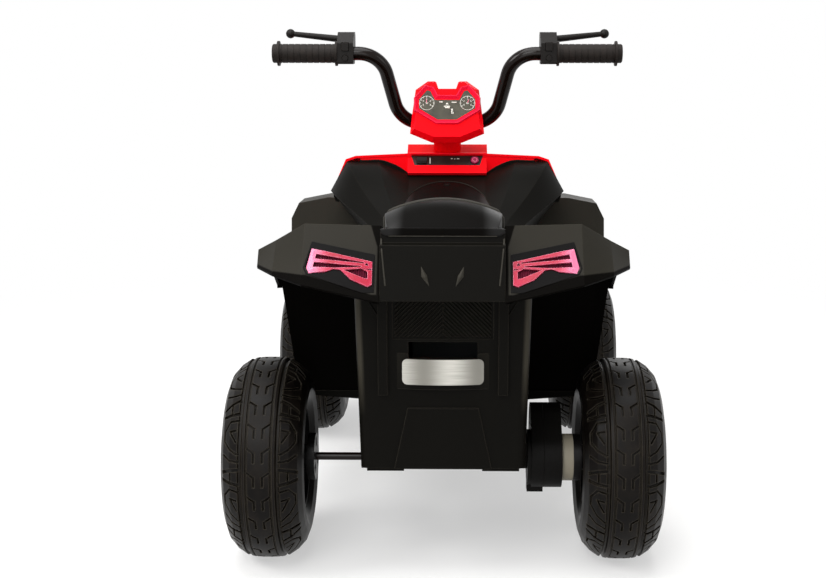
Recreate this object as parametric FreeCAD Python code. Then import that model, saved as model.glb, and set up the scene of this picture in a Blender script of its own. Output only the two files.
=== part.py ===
"""Battery kids quad bike, in millimetres.

+Y is forward, +X is the rider's right, +Z is up, and the origin lies on the ground
under the middle of the vehicle.
"""
import FreeCAD, Part
import math
import os
from FreeCAD import Vector

# Clearances shared by every piece
FIT_GAP = 0.15        # between fixed pieces that seat on each other
MOVE_GAP = 0.4        # between pieces that move past each other
RUN_GAP = 0.06        # radial clearance of a shaft in its bore
OVERRUN = 6.0         # how far a cutting tool runs past the wall it cuts
WALL = 3.0            # wall of the moulded panels

# Whole vehicle
WHEELBASE = 450.0
TRACK = 356.0
REAR_OVERHANG = 130.0
FRONT_OVERHANG = 142.0
LENGTH = REAR_OVERHANG + WHEELBASE + FRONT_OVERHANG
REAR_AXLE_Y = REAR_OVERHANG - LENGTH / 2
FRONT_AXLE_Y = REAR_AXLE_Y + WHEELBASE

# Wheels
TYRE_DIAMETER = 205.0
TYRE_WIDTH = 82.0
TYRE_WALL = 4.0
BEAD_DIAMETER = 112.0
TREAD_DEPTH = 2.8
CROSS_GROOVE = 3.4
FINE_GROOVE = 2.2
TREAD_PITCHES = 9
AXLE_DIAMETER = 8.0
HUB_DIAMETER = 26.0
HUB_INNER_REACH = 46.0
HUB_OUTER_REACH = 20.0
HUB_FLANGE_DIAMETER = 48.0
HUB_FLANGE_LENGTH = 8.0
RIM_WALL = 3.0
RIM_DISH = 10.0
SPOKE_COUNT = 6
SPOKE_WIDTH = 15.0
CAP_DIAMETER = 46.0
CAP_HEIGHT = 16.0
CAP_FLAT = 10.0
CAP_WALL = 2.0
NUT_FLATS = 13.0
NUT_HEIGHT = 6.0
THREAD_END = 1.2
AXLE_Z = TYRE_DIAMETER / 2
WHEEL_X = TRACK / 2
# Half profile of the tyre: share of the half width, share of the radius
TREAD_SHARES = (
    (0.260, 0.997),
    (0.275, 0.978),
    (0.305, 0.978),
    (0.320, 0.995),
    (0.385, 0.990),
    (0.420, 0.958),
    (0.470, 0.958),
)
CARCASS_SHARES = (
    (0.500, 0.978),
    (0.700, 0.925),
    (0.880, 0.845),
    (0.970, 0.750),
    (1.000, 0.685),
    (0.940, 0.600),
    (0.820, 0.546),
)
# Grooves of one tread pitch: places as shares across a shoulder and along the pitch
CROSS_GROOVE_SHARES = (
    ((0.00, 0.00), (0.50, 0.02), (1.00, 0.06)),
    ((0.00, 0.21), (0.50, 0.20), (1.00, 0.18)),
)
FINE_GROOVE_SHARES = (
    ((0.45, 0.03), (0.45, 0.19)),
    ((0.06, 0.31), (0.50, 0.30), (0.88, 0.43), (0.88, 0.58), (0.50, 0.71), (0.06, 0.78)),
    ((0.12, 0.45), (0.50, 0.45), (0.12, 0.61)),
    ((0.06, 0.89), (0.50, 0.87), (0.94, 0.79)),
)
# Notches of the middle band: shares across the band and along the pitch
BAND_NOTCH_SHARES = (
    ((0.02, 0.04), (0.30, 0.10), (0.30, 0.22)),
    ((0.02, 0.38), (0.30, 0.44), (0.30, 0.56)),
    ((0.02, 0.71), (0.30, 0.77), (0.30, 0.89)),
)

# Rear drive: motor, one compound gear and the gear that turns the right wheel
DRIVE_TEETH = 40
SMALL_TEETH = 12
LARGE_TEETH = 44
PINION_TEETH = 10
DRIVE_MODULE = 1.25
MOTOR_MODULE = 1.0
PRESSURE_ANGLE = 25.0
ADDENDUM_SHARE = 0.85
DEDENDUM_SHARE = 1.2
TOOTH_SHARE = 0.44
CENTRE_SLACK = 0.1
TRAIN_ANGLE = 46.0
MOTOR_ANGLE = -56.0
GEARBOX_WALL = 2.5
GEARBOX_DEPTH = 31.0
GEARBOX_FLANGE = 4.0
DRIVE_FACE = 12.0
MOTOR_FACE = 6.0
GEAR_SPACE = 2.0
TRUNNION_DIAMETER = 6.0
TRUNNION_LENGTH = 2.0
MOTOR_SHAFT_DIAMETER = 3.2
MOTOR_DIAMETER = 28.0
MOTOR_LENGTH = 38.0
MOTOR_BOSS_DIAMETER = 10.0
MOTOR_BOSS_LENGTH = 2.0
MOTOR_WINDOW_GAP = 3.0
DRIVE_NECK_DIAMETER = 36.0
DRIVE_RING_DIAMETER = 48.0
DRIVE_HUB_DIAMETER = 16.0
DOG_COUNT = 3
DOG_WIDTH = 9.0
DOG_LENGTH = 5.0
DOG_INNER = 11.0
DOG_OUTER = 20.0
LUG_LENGTH = 15.0
LUG_DROP = 35.0
LUG_STEP = 5.0

# Lower body: a drafted tub with a narrow nose between the front wheels
FLOOR_RISE = 15.5
TUB_HEIGHT = 174.0
TUB_INSET = 98.0     # tub's side inside the wheel's middle plane
TUB_DRAFT = 5.0
NOSE_INSET = 46.0    # nose's side inside the kingpin
TUB_REAR = 85.0
TUB_NECK = 155.0
TUB_NECK_LENGTH = 40.0
TUB_FRONT = 105.0
NOSE_DROP = 46.0
CORNER_RADIUS = 9.0
FLOOR_Z = AXLE_Z + FLOOR_RISE
TUB_TOP = FLOOR_Z + TUB_HEIGHT
TUB_REAR_Y = REAR_AXLE_Y - TUB_REAR
TUB_HALF_WIDTH = WHEEL_X - TUB_INSET
CARRIER_WIDTH = 14.0
CARRIER_RADIUS = 12.0
FOOTBOARD_INSET = 8.0
FOOTBOARD_RISE = 20.0
FOOTBOARD_THICKNESS = 4.0
FOOTBOARD_LIP = 14.0
FOOTBOARD_REAR = 112.0
FOOTBOARD_FRONT = 144.0
TREAD_RIB_WIDTH = 4.0
TREAD_RIB_HEIGHT = 1.5
TREAD_RIB_PITCH = 14.0
FOOTBOARD_HALF_WIDTH = WHEEL_X - FOOTBOARD_INSET
FOOTBOARD_TOP = FLOOR_Z + FOOTBOARD_RISE + FOOTBOARD_THICKNESS
PILLAR_INSET = 22.5
PILLAR_WIDTH = 9.0
PILLAR_DEPTH = 6.0
PILLAR_TOP_SHARE = 0.97
PILLAR_FOOT_SHARE = 0.43
PILLAR_X = TUB_HALF_WIDTH - PILLAR_INSET
RECESS_GAP = 5.0
RECESS_DEPTH = 1.5
RECESS_SHARES = (0.74, 0.965)
RECESS_HALF_WIDTH = PILLAR_X - PILLAR_WIDTH / 2 - RECESS_GAP
SLOT_HALF_WIDTH = 33.0
SLOT_SHARES = (0.635, 0.725)
PLATE_HALF_WIDTH = 39.0
PLATE_HEIGHT = 25.0
PLATE_THICKNESS = 1.2
PLATE_RADIUS = 5.0
PLATE_CENTRE_SHARE = 0.56
BULGE_MARGIN = 5.0
BULGE_DEPTH = 5.0
APRON_TOP_SHARE = 0.35
APRON_TOP_HALF_WIDTH = 34.0
APRON_HALF_WIDTH = 47.0
APRON_DEPTH = 2.0
SKID_INNER_X = 38.0
SKID_OUTER_X = 74.0
SKID_HEIGHT = 3.5
SKID_LENGTH = 60.0

# Front axle and steering
KINGPIN_INSET = 70.0
KINGPIN_X = WHEEL_X - KINGPIN_INSET
NOSE_HALF_WIDTH = KINGPIN_X - NOSE_INSET
KINGPIN_DIAMETER = 10.0
KINGPIN_BOSS_DIAMETER = 22.0
KINGPIN_BOSS_HEIGHT = 46.0
KINGPIN_WASHER_DIAMETER = 17.0
KINGPIN_WASHER_HEIGHT = 2.0
BEAM_WIDTH = 18.0
ARM_LENGTH = 35.0
ARM_WIDTH = 16.0
ARM_THICKNESS = 4.0
LINK_PIN_DIAMETER = 6.0
LINK_PIN_HEAD = 2.0
TIE_ROD_WIDTH = 14.0
TIE_ROD_THICKNESS = 4.0
SLOT_SLACK = 1.4
RAKE = 20.0
BAR_RISE = 131.0      # handlebar's lower run above the tub's rim
BAR_SETBACK = 150.0   # and behind the front axle
COLUMN_DIAMETER = 12.0
COLUMN_TOP_GAP = 10.0
CRANK_DEPTH = 6.5
CRANK_THICKNESS = 5.0
BUSH_WALL = 3.0
BUSH_HEIGHT = 14.0
BUSH_FLANGE = 3.0

# Handlebar and controls
BAR_DIAMETER = 16.0
BAR_WALL = 1.6
BAR_LOWER_HALF = 56.0
BAR_UPPER_HALF = 77.2
BAR_LIFT = 83.0
BAR_BEND_RADIUS = 33.0
BAR_HALF_SPAN = 198.0
GRIP_DIAMETER = 22.0
GRIP_FLANGE_DIAMETER = 29.0
GRIP_FLANGE = 2.5
GRIP_LENGTH = 76.0
GRIP_END = 6.0
GRIP_GROOVE = 1.2
GRIP_RING_COUNT = 9
HOUSING_WIDTH = 19.0
HOUSING_RADIUS = 12.0
HOUSING_RISE = 24.5
HOUSING_REACH = 26.0
LEVER_FORWARD = 16.0
LEVER_RISE = 15.5
LEVER_LENGTH = 67.0
LEVER_FLARE = 10.0
LEVER_ROOT_DIAMETER = 8.5
LEVER_TIP_DIAMETER = 6.0
LEVER_BALL_DIAMETER = 11.0
LEVER_KNUCKLE_DIAMETER = 13.0
LEVER_KNUCKLE_HEIGHT = 8.0
LEVER_PIN_DIAMETER = 4.0
BUTTON_WIDTH = 8.0
BUTTON_HEIGHT = 9.0
BUTTON_RISE = 8.0
BUTTON_DROP = 5.0
BUTTON_PROUD = 2.2
BUTTON_TRAVEL = 1.5
BUTTON_ROOT = 1.2
ROUND_BUTTON_DIAMETER = 6.5

# Binnacle: outline shares of its half width and of its height above the bar
BINNACLE_HALF_WIDTH = 44.0
BINNACLE_HEIGHT = 38.0
BINNACLE_DEPTH = 42.0
BINNACLE_TILT = 25.0
BINNACLE_RISE = 17.0
BINNACLE_SETBACK = 22.0
BINNACLE_RIM = 9.0
NECK_DIAMETER = 33.0
NECK_LENGTH = 34.0
DIAL_DEPTH = 3.0
BINNACLE_OUTLINE_SHARES = (
    (0.27, 0.80),
    (0.34, 1.05),
    (0.53, 1.05),
    (0.86, 0.76),
    (0.95, -0.10),
    (1.00, -0.70),
    (0.40, -1.00),
)
BINNACLE_RIM_SHARE = 0.88
BINNACLE_BACK_SHARE = 0.66
DIAL_OUTLINE_SHARES = (
    (0.330, 0.33),
    (0.455, 0.62),
    (0.545, 0.65),
    (0.760, 0.35),
    (0.755, 0.05),
    (0.255, -0.32),
)

# Rear fender body: wing stations from the inner edge to the tip
WING_OVERHANG = 1.0
WING_SPAN = WHEEL_X + WING_OVERHANG
WING_INNER_X = 58.0
WING_HEIGHT = 65.0
WING_WALL = 3.0
RIDGE_WIDTH = 6.0
ARCH_GAP = 13.0
ARCH_REACH = AXLE_Z + ARCH_GAP
WING_LIP = 5.0
GUARD_TRIM = 28.0
GUARD_OUTER_BOTTOM_SHARE = 0.90
GUARD_OUTER_TOP_SHARE = 0.97
# place across the wing, then four (y, z) points: two behind the axle in shares of the
# overhang, two ahead of it in shares of the arch, heights in shares of the wing height
WING_SECTION_SHARES = (
    (0.000, ((-1.000, -0.01), (-0.66, 0.985), (0.17, 0.64), (0.75, 0.12))),
    (0.597, ((-0.940, 0.22), (-0.615, 1.000), (0.17, 0.60), (0.73, 0.02))),
    (0.839, ((-0.770, 0.31), (-0.500, 0.720), (0.17, 0.42), (0.71, -0.16))),
    (1.000, ((-0.480, 0.31), (-0.385, 0.540), (0.13, 0.26), (0.68, -0.32))),
)
GUARD_FOOT_SHARE = 1.02
DECK_SHARES = (
    (-0.62, 0.815),
    (-0.16, 0.640),
    (0.46, 0.110),
)
HATCH_HALF_WIDTH = 45.0
HATCH_LENGTH = 95.0
TAIL_SHARES = (
    (-0.975, 0.000),
    (-0.885, 0.770),
    (-0.815, 0.785),
    (-0.800, 0.930),
    (-0.655, 0.945),
)
LAMP_INNER_X = 65.0
LAMP_WIDTH = 62.0
LAMP_HEIGHT = 36.0
LAMP_RISE = 12.0
LAMP_REACH = 60.0
LAMP_OUTLINE_SHARES = (
    (0.00, 0.69),
    (0.92, 1.00),
    (1.00, 0.47),
    (0.95, 0.36),
    (0.69, 0.39),
    (0.58, 0.47),
    (0.48, 0.44),
    (0.32, 0.19),
    (0.07, 0.00),
    (0.00, 0.03),
)

# Seat: (place along the seat, half width, underside, shoulder, crown) as shares
SEAT_REAR = 84.0
SEAT_FRONT = 186.0
SEAT_HALF_WIDTH = 57.0
SEAT_HEIGHT = 81.0
SEAT_SECTION_SHARES = (
    (0.000, 0.88, 0.58, 0.70, 0.76),
    (0.055, 0.96, 0.55, 0.81, 0.92),
    (0.160, 1.00, 0.50, 0.83, 1.00),
    (0.270, 1.00, 0.32, 0.66, 0.79),
    (0.440, 1.00, 0.05, 0.37, 0.47),
    (0.600, 0.96, 0.05, 0.32, 0.42),
    (0.760, 0.90, 0.18, 0.45, 0.54),
    (0.890, 0.83, 0.43, 0.63, 0.70),
    (0.960, 0.66, 0.62, 0.73, 0.78),
    (1.000, 0.32, 0.72, 0.78, 0.80),
)

# Tank cover: stations from the hood back to the seat
TANK_FRONT = 165.3
TANK_LENGTH = 134.0
TANK_HALF_WIDTH = 140.0
TANK_HEIGHT = 86.0
# place along the length, then right half outline from the middle of the top down
TANK_SECTION_SHARES = (
    (0.00, ((0.32, 0.83), (0.58, 1.00), (0.86, 1.00), (1.00, 0.59), (0.74, 0.09), (0.60, 0.00))),
    (0.17, ((0.32, 0.76), (0.56, 0.92), (0.81, 0.91), (0.945, 0.55), (0.73, 0.09), (0.60, 0.00))),
    (0.40, ((0.32, 0.63), (0.51, 0.71), (0.70, 0.68), (0.82, 0.44), (0.69, 0.08), (0.60, 0.00))),
    (0.65, ((0.30, 0.47), (0.44, 0.48), (0.56, 0.44), (0.66, 0.29), (0.63, 0.07), (0.59, 0.00))),
    (1.00, ((0.26, 0.22), (0.36, 0.22), (0.44, 0.20), (0.54, 0.14), (0.58, 0.05), (0.58, 0.00))),
)

# Hood: stations from the dash to the nose, heights above the nose's lower edge
HOOD_REAR = 165.0
HOOD_LENGTH = 287.0
HOOD_HALF_WIDTH = 143.0
HOOD_HEIGHT = 128.0
HOOD_TOP_RISE = 95.8
HOOD_SECTION_SHARES = (
    (0.00, ((0.326, 1.000), (0.766, 0.977), (0.850, 0.945), (0.964, 0.656), (0.938, 0.547))),
    (0.40, ((0.312, 0.890), (0.652, 0.860), (0.738, 0.812), (0.865, 0.610), (0.851, 0.516))),
    (0.75, ((0.270, 0.656), (0.540, 0.625), (0.624, 0.562), (0.723, 0.400), (0.723, 0.297))),
    (1.00, ((0.213, 0.328), (0.383, 0.305), (0.454, 0.250), (0.525, 0.110), (0.525, 0.000))),
)
DASH_HALF_WIDTH = 47.0
DASH_TOP_SETBACK = 160.0
DASH_LOW_SETBACK = 178.0
DASH_DROP = 22.0
DASH_DEPTH = 14.0
DASH_MARGIN = 4.0
DASH_LIP = 11.0
DASH_PANEL = 3.0
PLINTH_HALF_WIDTH = 48.0
PLINTH_BACK = 22.0
PLINTH_FRONT = 10.0
PLINTH_DEPTH = 16.0
PLINTH_DISTANCE = 33.0
POWER_X = 33.0
POWER_DIAMETER = 9.5
ROCKER_X = -30.0
ROCKER_WIDTH = 12.0
ROCKER_LENGTH = 10.0
ROCKER_RADIUS = 9.0
ROCKER_TILT = 8.0
HEADLAMP_INNER_X = 20.0
HEADLAMP_OUTER_X = 62.0
HEADLAMP_LOW_SHARE = 0.09
HEADLAMP_HIGH_SHARE = 0.27
HEADLAMP_DEPTH = 60.0

# Front fenders: stations from the hood's side to the outer edge
FENDER_OVERHANG = 16.5
FENDER_OUTER_X = WHEEL_X + FENDER_OVERHANG
FENDER_INNER_X = 58.0
FENDER_SHOULDER = 45.0
FENDER_ROUND = 9.5
FENDER_TOP_X = FENDER_OUTER_X - FENDER_SHOULDER
FENDER_EDGE_X = FENDER_OUTER_X - FENDER_ROUND
FENDER_EDGE_DROP = 14.0
FENDER_SIDE_DROP = 26.0
FENDER_LIP = 24.0
FENDER_FRONT = 106.0
FENDER_FRONT_DROP = 46.0
FENDER_REAR = 112.0
FENDER_GUARD = 148.0
FENDER_GUARD_OUTER_SHARE = 0.92

# Front bumper
BUMPER_HALF_WIDTH = 90.0
BUMPER_NOSE_HALF_WIDTH = 60.0
BUMPER_LOW_RISE = 14.0
BUMPER_HEIGHT = 118.0
BUMPER_BACK = 12.0
BUMPER_WALL = 8.0
GRILLE_COUNT = 4
GRILLE_SLOT = 10.0
GRILLE_PITCH = 18.0
GRILLE_HALF_WIDTH = 46.0

# Pieces inside the lower body, and the foot pedal
BATTERY_LENGTH = 70.0
BATTERY_WIDTH = 47.0
BATTERY_HEIGHT = 101.0
BATTERY_FORWARD = 95.0
TERMINAL_LENGTH = 6.0
TERMINAL_WIDTH = 4.8
TERMINAL_THICKNESS = 0.8
BOARD_LENGTH = 70.0
BOARD_WIDTH = 50.0
BOARD_THICKNESS = 1.6
BOARD_POST = 6.0
BOARD_SETBACK = 215.0
CHIP_HEIGHT = 9.0
CHIP_PLACE_SHARES = (-0.30, 0.05, 0.33)
SPEAKER_DIAMETER = 50.0
SPEAKER_HEIGHT = 17.0
MAGNET_DIAMETER = 30.0
CONE_DIAMETER = 42.0
CONE_FLOOR_DIAMETER = 10.0
CONE_DEPTH = 7.0
SPEAKER_FRAME = 3.0
SPEAKER_FORWARD = 48.0
SOCKET_DIAMETER = 11.0
SOCKET_FLANGE_DIAMETER = 15.0
SOCKET_FLANGE = 2.0
SOCKET_LENGTH = 16.0
SOCKET_RISE = 118.0
SOCKET_SETBACK = 215.0
PEDAL_X = (TUB_HALF_WIDTH + FOOTBOARD_HALF_WIDTH) / 2
PEDAL_WIDTH = 46.0
PEDAL_LENGTH = 64.0
PEDAL_THICKNESS = 6.0
PEDAL_TILT = 14.0
PEDAL_PIN_DIAMETER = 5.0
PEDAL_PIN_RISE = 7.0
PEDAL_SETBACK = 222.0
PEDAL_EAR = 5.0
PEDAL_RIB_COUNT = 6
SWITCH_LENGTH = 16.0
SWITCH_WIDTH = 20.0
SWITCH_HEIGHT = 8.0
PLUNGER_DIAMETER = 4.0
PLUNGER_HEIGHT = 1.0

# Screws
SCREW_HEAD_DIAMETER = 8.0
SCREW_HEAD_HEIGHT = 2.2
SCREW_DIAMETER = 3.0
SCREW_LENGTH = 8.0
HOOD_SCREW_X = 84.0
HOOD_SCREW_SETBACK = 152.0
SEAT_SCREW_SECTION = 8

ORIGIN = Vector(0, 0, 0)
ALONG_X = Vector(1, 0, 0)
ALONG_Y = Vector(0, 1, 0)
ALONG_Z = Vector(0, 0, 1)


# Shape helpers
def ring(points):
    """Closed wire through a list of points."""
    return Part.makePolygon(list(points) + [points[0]])


def slab(points, sweep):
    """Flat outline swept along a vector."""
    return Part.Face(ring(points)).extrude(sweep)


def ruled(outlines):
    """Solid stretched straight between outlines with equal point counts."""
    return Part.makeLoft([ring(outline) for outline in outlines], True, True)


def cylinder(start, direction, diameter, length):
    return Part.makeCylinder(diameter / 2, length, start, direction)


def mirrored(shape):
    return shape.mirror(ORIGIN, ALONG_X)


def box(low, high):
    size = high - low
    return Part.makeBox(size.x, size.y, size.z, low)


def side_normal(start, end):
    run = (end[0] - start[0], end[1] - start[1])
    size = math.hypot(run[0], run[1])
    return (-run[1] / size, run[0] / size)


def offset_path(path, distance, closed):
    """Plane path moved to its left by a distance, with mitred corners."""
    moved = []
    count = len(path)
    for index, place in enumerate(path):
        normals = []
        if closed or index > 0:
            normals.append(side_normal(path[index - 1], place))
        if closed or index < count - 1:
            normals.append(side_normal(place, path[(index + 1) % count]))
        first = normals[0]
        last = normals[-1]
        share = distance / (1 + first[0] * last[0] + first[1] * last[1])
        moved.append((place[0] + (first[0] + last[0]) * share, place[1] + (first[1] + last[1]) * share))
    return moved


def strip(path, thickness):
    """Closed outline of a bent strip on the right-hand side of a path."""
    return list(path) + offset_path(path, -thickness, False)[::-1]


def mirror_outline(half):
    """Closed outline from its right half, listed from the middle of the top down."""
    return [(-x, z) for x, z in half] + [(x, z) for x, z in half[::-1]]


def rounded_ring(points, radius):
    """Closed wire through corner points, each corner rounded by an arc."""
    corners = []
    count = len(points)
    for index, corner in enumerate(points):
        back = (points[index - 1] - corner).normalize()
        ahead = (points[(index + 1) % count] - corner).normalize()
        half_angle = back.getAngle(ahead) / 2
        reach = radius / math.tan(half_angle)
        middle = (back + ahead).normalize() * (radius / math.sin(half_angle) - radius)
        corners.append((corner + back * reach, corner + middle, corner + ahead * reach))
    edges = []
    for index, (start, middle, end) in enumerate(corners):
        edges.append(Part.Arc(start, middle, end).toShape())
        edges.append(Part.LineSegment(end, corners[(index + 1) % count][0]).toShape())
    return Part.Wire(edges)


def fused(shapes):
    first = shapes[0]
    return first.multiFuse(shapes[1:]).removeSplitter()


def yz(x, path):
    """Side-view path of (y, z) places set at one x."""
    return [Vector(x, y, z) for y, z in path]


def xz(y, path):
    """Rear-view path of (x, z) places set at one y."""
    return [Vector(x, y, z) for x, z in path]


# Wheels
def half_profile(shares):
    """Profile places (axial, radial) of the tyre's right half."""
    half = TYRE_WIDTH / 2
    return [(axial * half, radial * AXLE_Z) for axial, radial in shares]


def both_halves(right):
    """Profile over the whole tyre, from its right bead to its left bead."""
    return right[::-1] + [(-axial, radial) for axial, radial in right]


def tyre_section():
    """Open carcass section with its crown as an arc and a plain inside."""
    bead = BEAD_DIAMETER / 2
    outside = both_halves(half_profile(TREAD_SHARES + CARCASS_SHARES))
    inside = offset_path(both_halves(half_profile(CARCASS_SHARES)), TYRE_WALL, False)
    for path in (outside, inside):
        path[0] = (path[0][0], bead)
        path[-1] = (path[-1][0], bead)
    count = len(outside) // 2
    right_places = [Vector(a, 0, r) for a, r in outside[:count]]
    left_places = [Vector(a, 0, r) for a, r in outside[count:]]
    inner_places = [Vector(a, 0, r) for a, r in inside[::-1]]
    crown = Part.Arc(right_places[-1], Vector(0, 0, AXLE_Z), left_places[0]).toShape()
    edges = [Part.makePolygon(right_places), crown, Part.makePolygon(left_places)]
    edges.append(Part.makePolygon([left_places[-1]] + inner_places + [right_places[0]]))
    return Part.Face(Part.Wire(edges))


def tread_point(path, place):
    """Point on the tread: share across a profile path, share along one pitch."""
    across, along = place
    spans = len(path) - 1
    index = min(int(across * spans), spans - 1)
    part = across * spans - index
    axial = path[index][0] + (path[index + 1][0] - path[index][0]) * part
    radial = path[index][1] + (path[index + 1][1] - path[index][1]) * part
    turn = 2 * math.pi * along / TREAD_PITCHES
    return Vector(axial, -radial * math.sin(turn), radial * math.cos(turn))


def tread_groove(start, end, width, lean):
    """Straight groove between two points of the tread, cut along the leaning radius."""
    middle = (start + end) / 2
    out = Vector(0, middle.y, middle.z).normalize() + ALONG_X * lean
    out.normalize()
    run = (end - start).normalize() * (width / 2)
    side = run.cross(out).normalize() * (width / 2)
    corners = [start - run - side, end + run - side, end + run + side, start - run + side]
    return slab([corner - out * TREAD_DEPTH for corner in corners], out * (TREAD_DEPTH + OVERRUN))


def groove_chain(path, shares, width, lean):
    """Grooves along a chain of places."""
    points = [tread_point(path, place) for place in shares]
    return [tread_groove(start, end, width, lean) for start, end in zip(points, points[1:])]


def tread_tools():
    """Grooves of one pitch on both shoulders and on the middle band."""
    shoulder = half_profile(CARCASS_SHARES[:3])
    band_edge = half_profile(TREAD_SHARES[:1])[0]
    band = [band_edge, (-band_edge[0], band_edge[1])]
    lean = (shoulder[0][1] - shoulder[-1][1]) / (shoulder[-1][0] - shoulder[0][0])
    half = []
    for shares in CROSS_GROOVE_SHARES:
        half += groove_chain(shoulder, shares, CROSS_GROOVE, lean)
    for shares in FINE_GROOVE_SHARES:
        half += groove_chain(shoulder, shares, FINE_GROOVE, lean)
    for shares in BAND_NOTCH_SHARES:
        half += groove_chain(band, shares, FINE_GROOVE, 0)
    return half + [mirrored(tool) for tool in half]


def tyre():
    """Moulded tyre with its tread cut pitch by pitch."""
    body = tyre_section().revolve(ORIGIN, ALONG_X, 360)
    tools = []
    for index in range(TREAD_PITCHES):
        for tool in tread_tools():
            tool.rotate(ORIGIN, ALONG_X, index * 360 / TREAD_PITCHES)
            tools.append(tool)
    return body.cut(tools)


def rim():
    """Barrel, dished disc with windows, and the hub that runs on the axle."""
    half = TYRE_WIDTH / 2
    bead_half = CARCASS_SHARES[-1][0] * half
    outer = BEAD_DIAMETER / 2 - FIT_GAP
    inner = outer - RIM_WALL
    hub = HUB_DIAMETER / 2
    bore = AXLE_DIAMETER / 2 + RUN_GAP
    flange = HUB_FLANGE_DIAMETER / 2
    disc_hub = HUB_OUTER_REACH
    disc_rim = HUB_OUTER_REACH - RIM_DISH
    land = CAP_DIAMETER / 2 + RIM_WALL
    flange_end = HUB_FLANGE_LENGTH - HUB_INNER_REACH
    profile = [
        (-HUB_INNER_REACH, bore), (disc_hub, bore), (disc_hub, land), (disc_rim, inner),
        (bead_half, inner), (bead_half, outer), (-bead_half, outer),
        (-bead_half, inner), (disc_rim - RIM_WALL, inner), (disc_hub - RIM_WALL, land),
        (disc_hub - RIM_WALL, hub),
        (flange_end, hub), (flange_end, flange), (-HUB_INNER_REACH, flange),
    ]
    body = Part.Face(ring([Vector(a, 0, r) for a, r in profile])).revolve(ORIGIN, ALONG_X, 360)
    window_low = land + RIM_WALL
    window_high = inner - RIM_WALL * 2
    step = 360 / SPOKE_COUNT
    low_half = window_low * math.sin(math.radians(step / 2)) - SPOKE_WIDTH / 2
    high_half = window_high * math.sin(math.radians(step / 2)) - SPOKE_WIDTH / 2
    corners = [(-low_half, window_low), (low_half, window_low), (high_half, window_high),
               (-high_half, window_high)]
    window = Part.Face(rounded_ring([Vector(0, y, z) for y, z in corners], RIM_WALL))
    window = window.extrude(ALONG_X * HUB_OUTER_REACH * 2)
    tools = []
    for index in range(SPOKE_COUNT):
        turned = window.copy()
        turned.rotate(ORIGIN, ALONG_X, index * step)
        tools.append(turned)
    slots = []
    for index in range(DOG_COUNT):
        slot = dog(FIT_GAP)
        slot.rotate(ORIGIN, ALONG_X, index * 360 / DOG_COUNT)
        slots.append(slot)
    return body.cut(tools + slots)


def dog(grow):
    """Driving dog of the hub's inner end, in the wheel's own frame."""
    low = Vector(-HUB_INNER_REACH - OVERRUN, -DOG_WIDTH / 2 - grow, DOG_INNER - grow)
    high = Vector(DOG_LENGTH + grow - HUB_INNER_REACH, DOG_WIDTH / 2 + grow, DOG_OUTER + grow)
    return box(low, high)


def hub_cap():
    """Domed cap over the axle nut, seated on the disc's flat land."""
    base = HUB_OUTER_REACH + FIT_GAP
    outer = CAP_DIAMETER / 2
    inner = outer - CAP_WALL
    flat = CAP_FLAT / 2
    top = base + CAP_HEIGHT
    under = top - CAP_WALL
    edge = base + CAP_HEIGHT / 2
    crown = math.sin(math.radians(45))
    dome = Part.Arc(Vector(edge, 0, outer), Vector(edge + (top - edge) * crown, 0,
                                                   flat + (outer - flat) * crown),
                    Vector(top, 0, flat)).toShape()
    vault = Part.Arc(Vector(under, 0, flat), Vector(edge + (under - edge) * crown, 0,
                                                    flat + (inner - flat) * crown),
                     Vector(edge, 0, inner)).toShape()
    skirt = [Vector(edge, 0, inner), Vector(base, 0, inner), Vector(base, 0, outer), Vector(edge, 0, outer)]
    middle = [Vector(top, 0, flat), Vector(top, 0, 0), Vector(under, 0, 0), Vector(under, 0, flat)]
    wire = Part.Wire([Part.makePolygon(skirt), dome, Part.makePolygon(middle), vault])
    return Part.Face(wire).revolve(ORIGIN, ALONG_X, 360)


def nut(start, direction):
    """Hexagon nut on the axle's end."""
    radius = NUT_FLATS / 2 / math.cos(math.radians(30))
    places = []
    for index in range(6):
        turn = math.radians(60 * index)
        places.append(start + Vector(0, radius * math.cos(turn), radius * math.sin(turn)))
    body = slab(places, direction * NUT_HEIGHT)
    return body.cut(cylinder(start - direction * OVERRUN, direction, AXLE_DIAMETER + FIT_GAP * 2,
                             NUT_HEIGHT + OVERRUN * 2))


def at_wheel(shape, x, y):
    """Copy of a wheel piece set at a hub: x below zero mirrors it to the left."""
    placed = mirrored(shape) if x < 0 else shape.copy()
    placed.translate(Vector(x, y, AXLE_Z))
    return placed


def axle_rod(inner_x, outer_x, y):
    start = Vector(inner_x, y, AXLE_Z)
    return cylinder(start, ALONG_X, AXLE_DIAMETER, outer_x - inner_x)


NUT_X = WHEEL_X + HUB_OUTER_REACH + MOVE_GAP
AXLE_END_X = NUT_X + NUT_HEIGHT + THREAD_END


# Drive train
DRIVE_SPAN = (DRIVE_TEETH + SMALL_TEETH) * DRIVE_MODULE / 2 + CENTRE_SLACK
MOTOR_SPAN = (LARGE_TEETH + PINION_TEETH) * MOTOR_MODULE / 2 + CENTRE_SLACK
TRAIN_TURN = math.radians(TRAIN_ANGLE)
MOTOR_TURN = math.radians(MOTOR_ANGLE)
DRIVE_CENTRE = (REAR_AXLE_Y, AXLE_Z)
REDUCTION_CENTRE = (REAR_AXLE_Y + DRIVE_SPAN * math.cos(TRAIN_TURN),
                    AXLE_Z + DRIVE_SPAN * math.sin(TRAIN_TURN))
MOTOR_CENTRE = (REDUCTION_CENTRE[0] + MOTOR_SPAN * math.cos(MOTOR_TURN),
                REDUCTION_CENTRE[1] + MOTOR_SPAN * math.sin(MOTOR_TURN))
GEARBOX_X = TUB_HALF_WIDTH + TUB_DRAFT + FIT_GAP
GEARBOX_INNER_X = GEARBOX_X + GEARBOX_FLANGE
GEARBOX_OUTER_X = GEARBOX_INNER_X + GEARBOX_DEPTH
CAVITY_X = GEARBOX_INNER_X + GEARBOX_WALL
LARGE_X = CAVITY_X + GEAR_SPACE / 2
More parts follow.
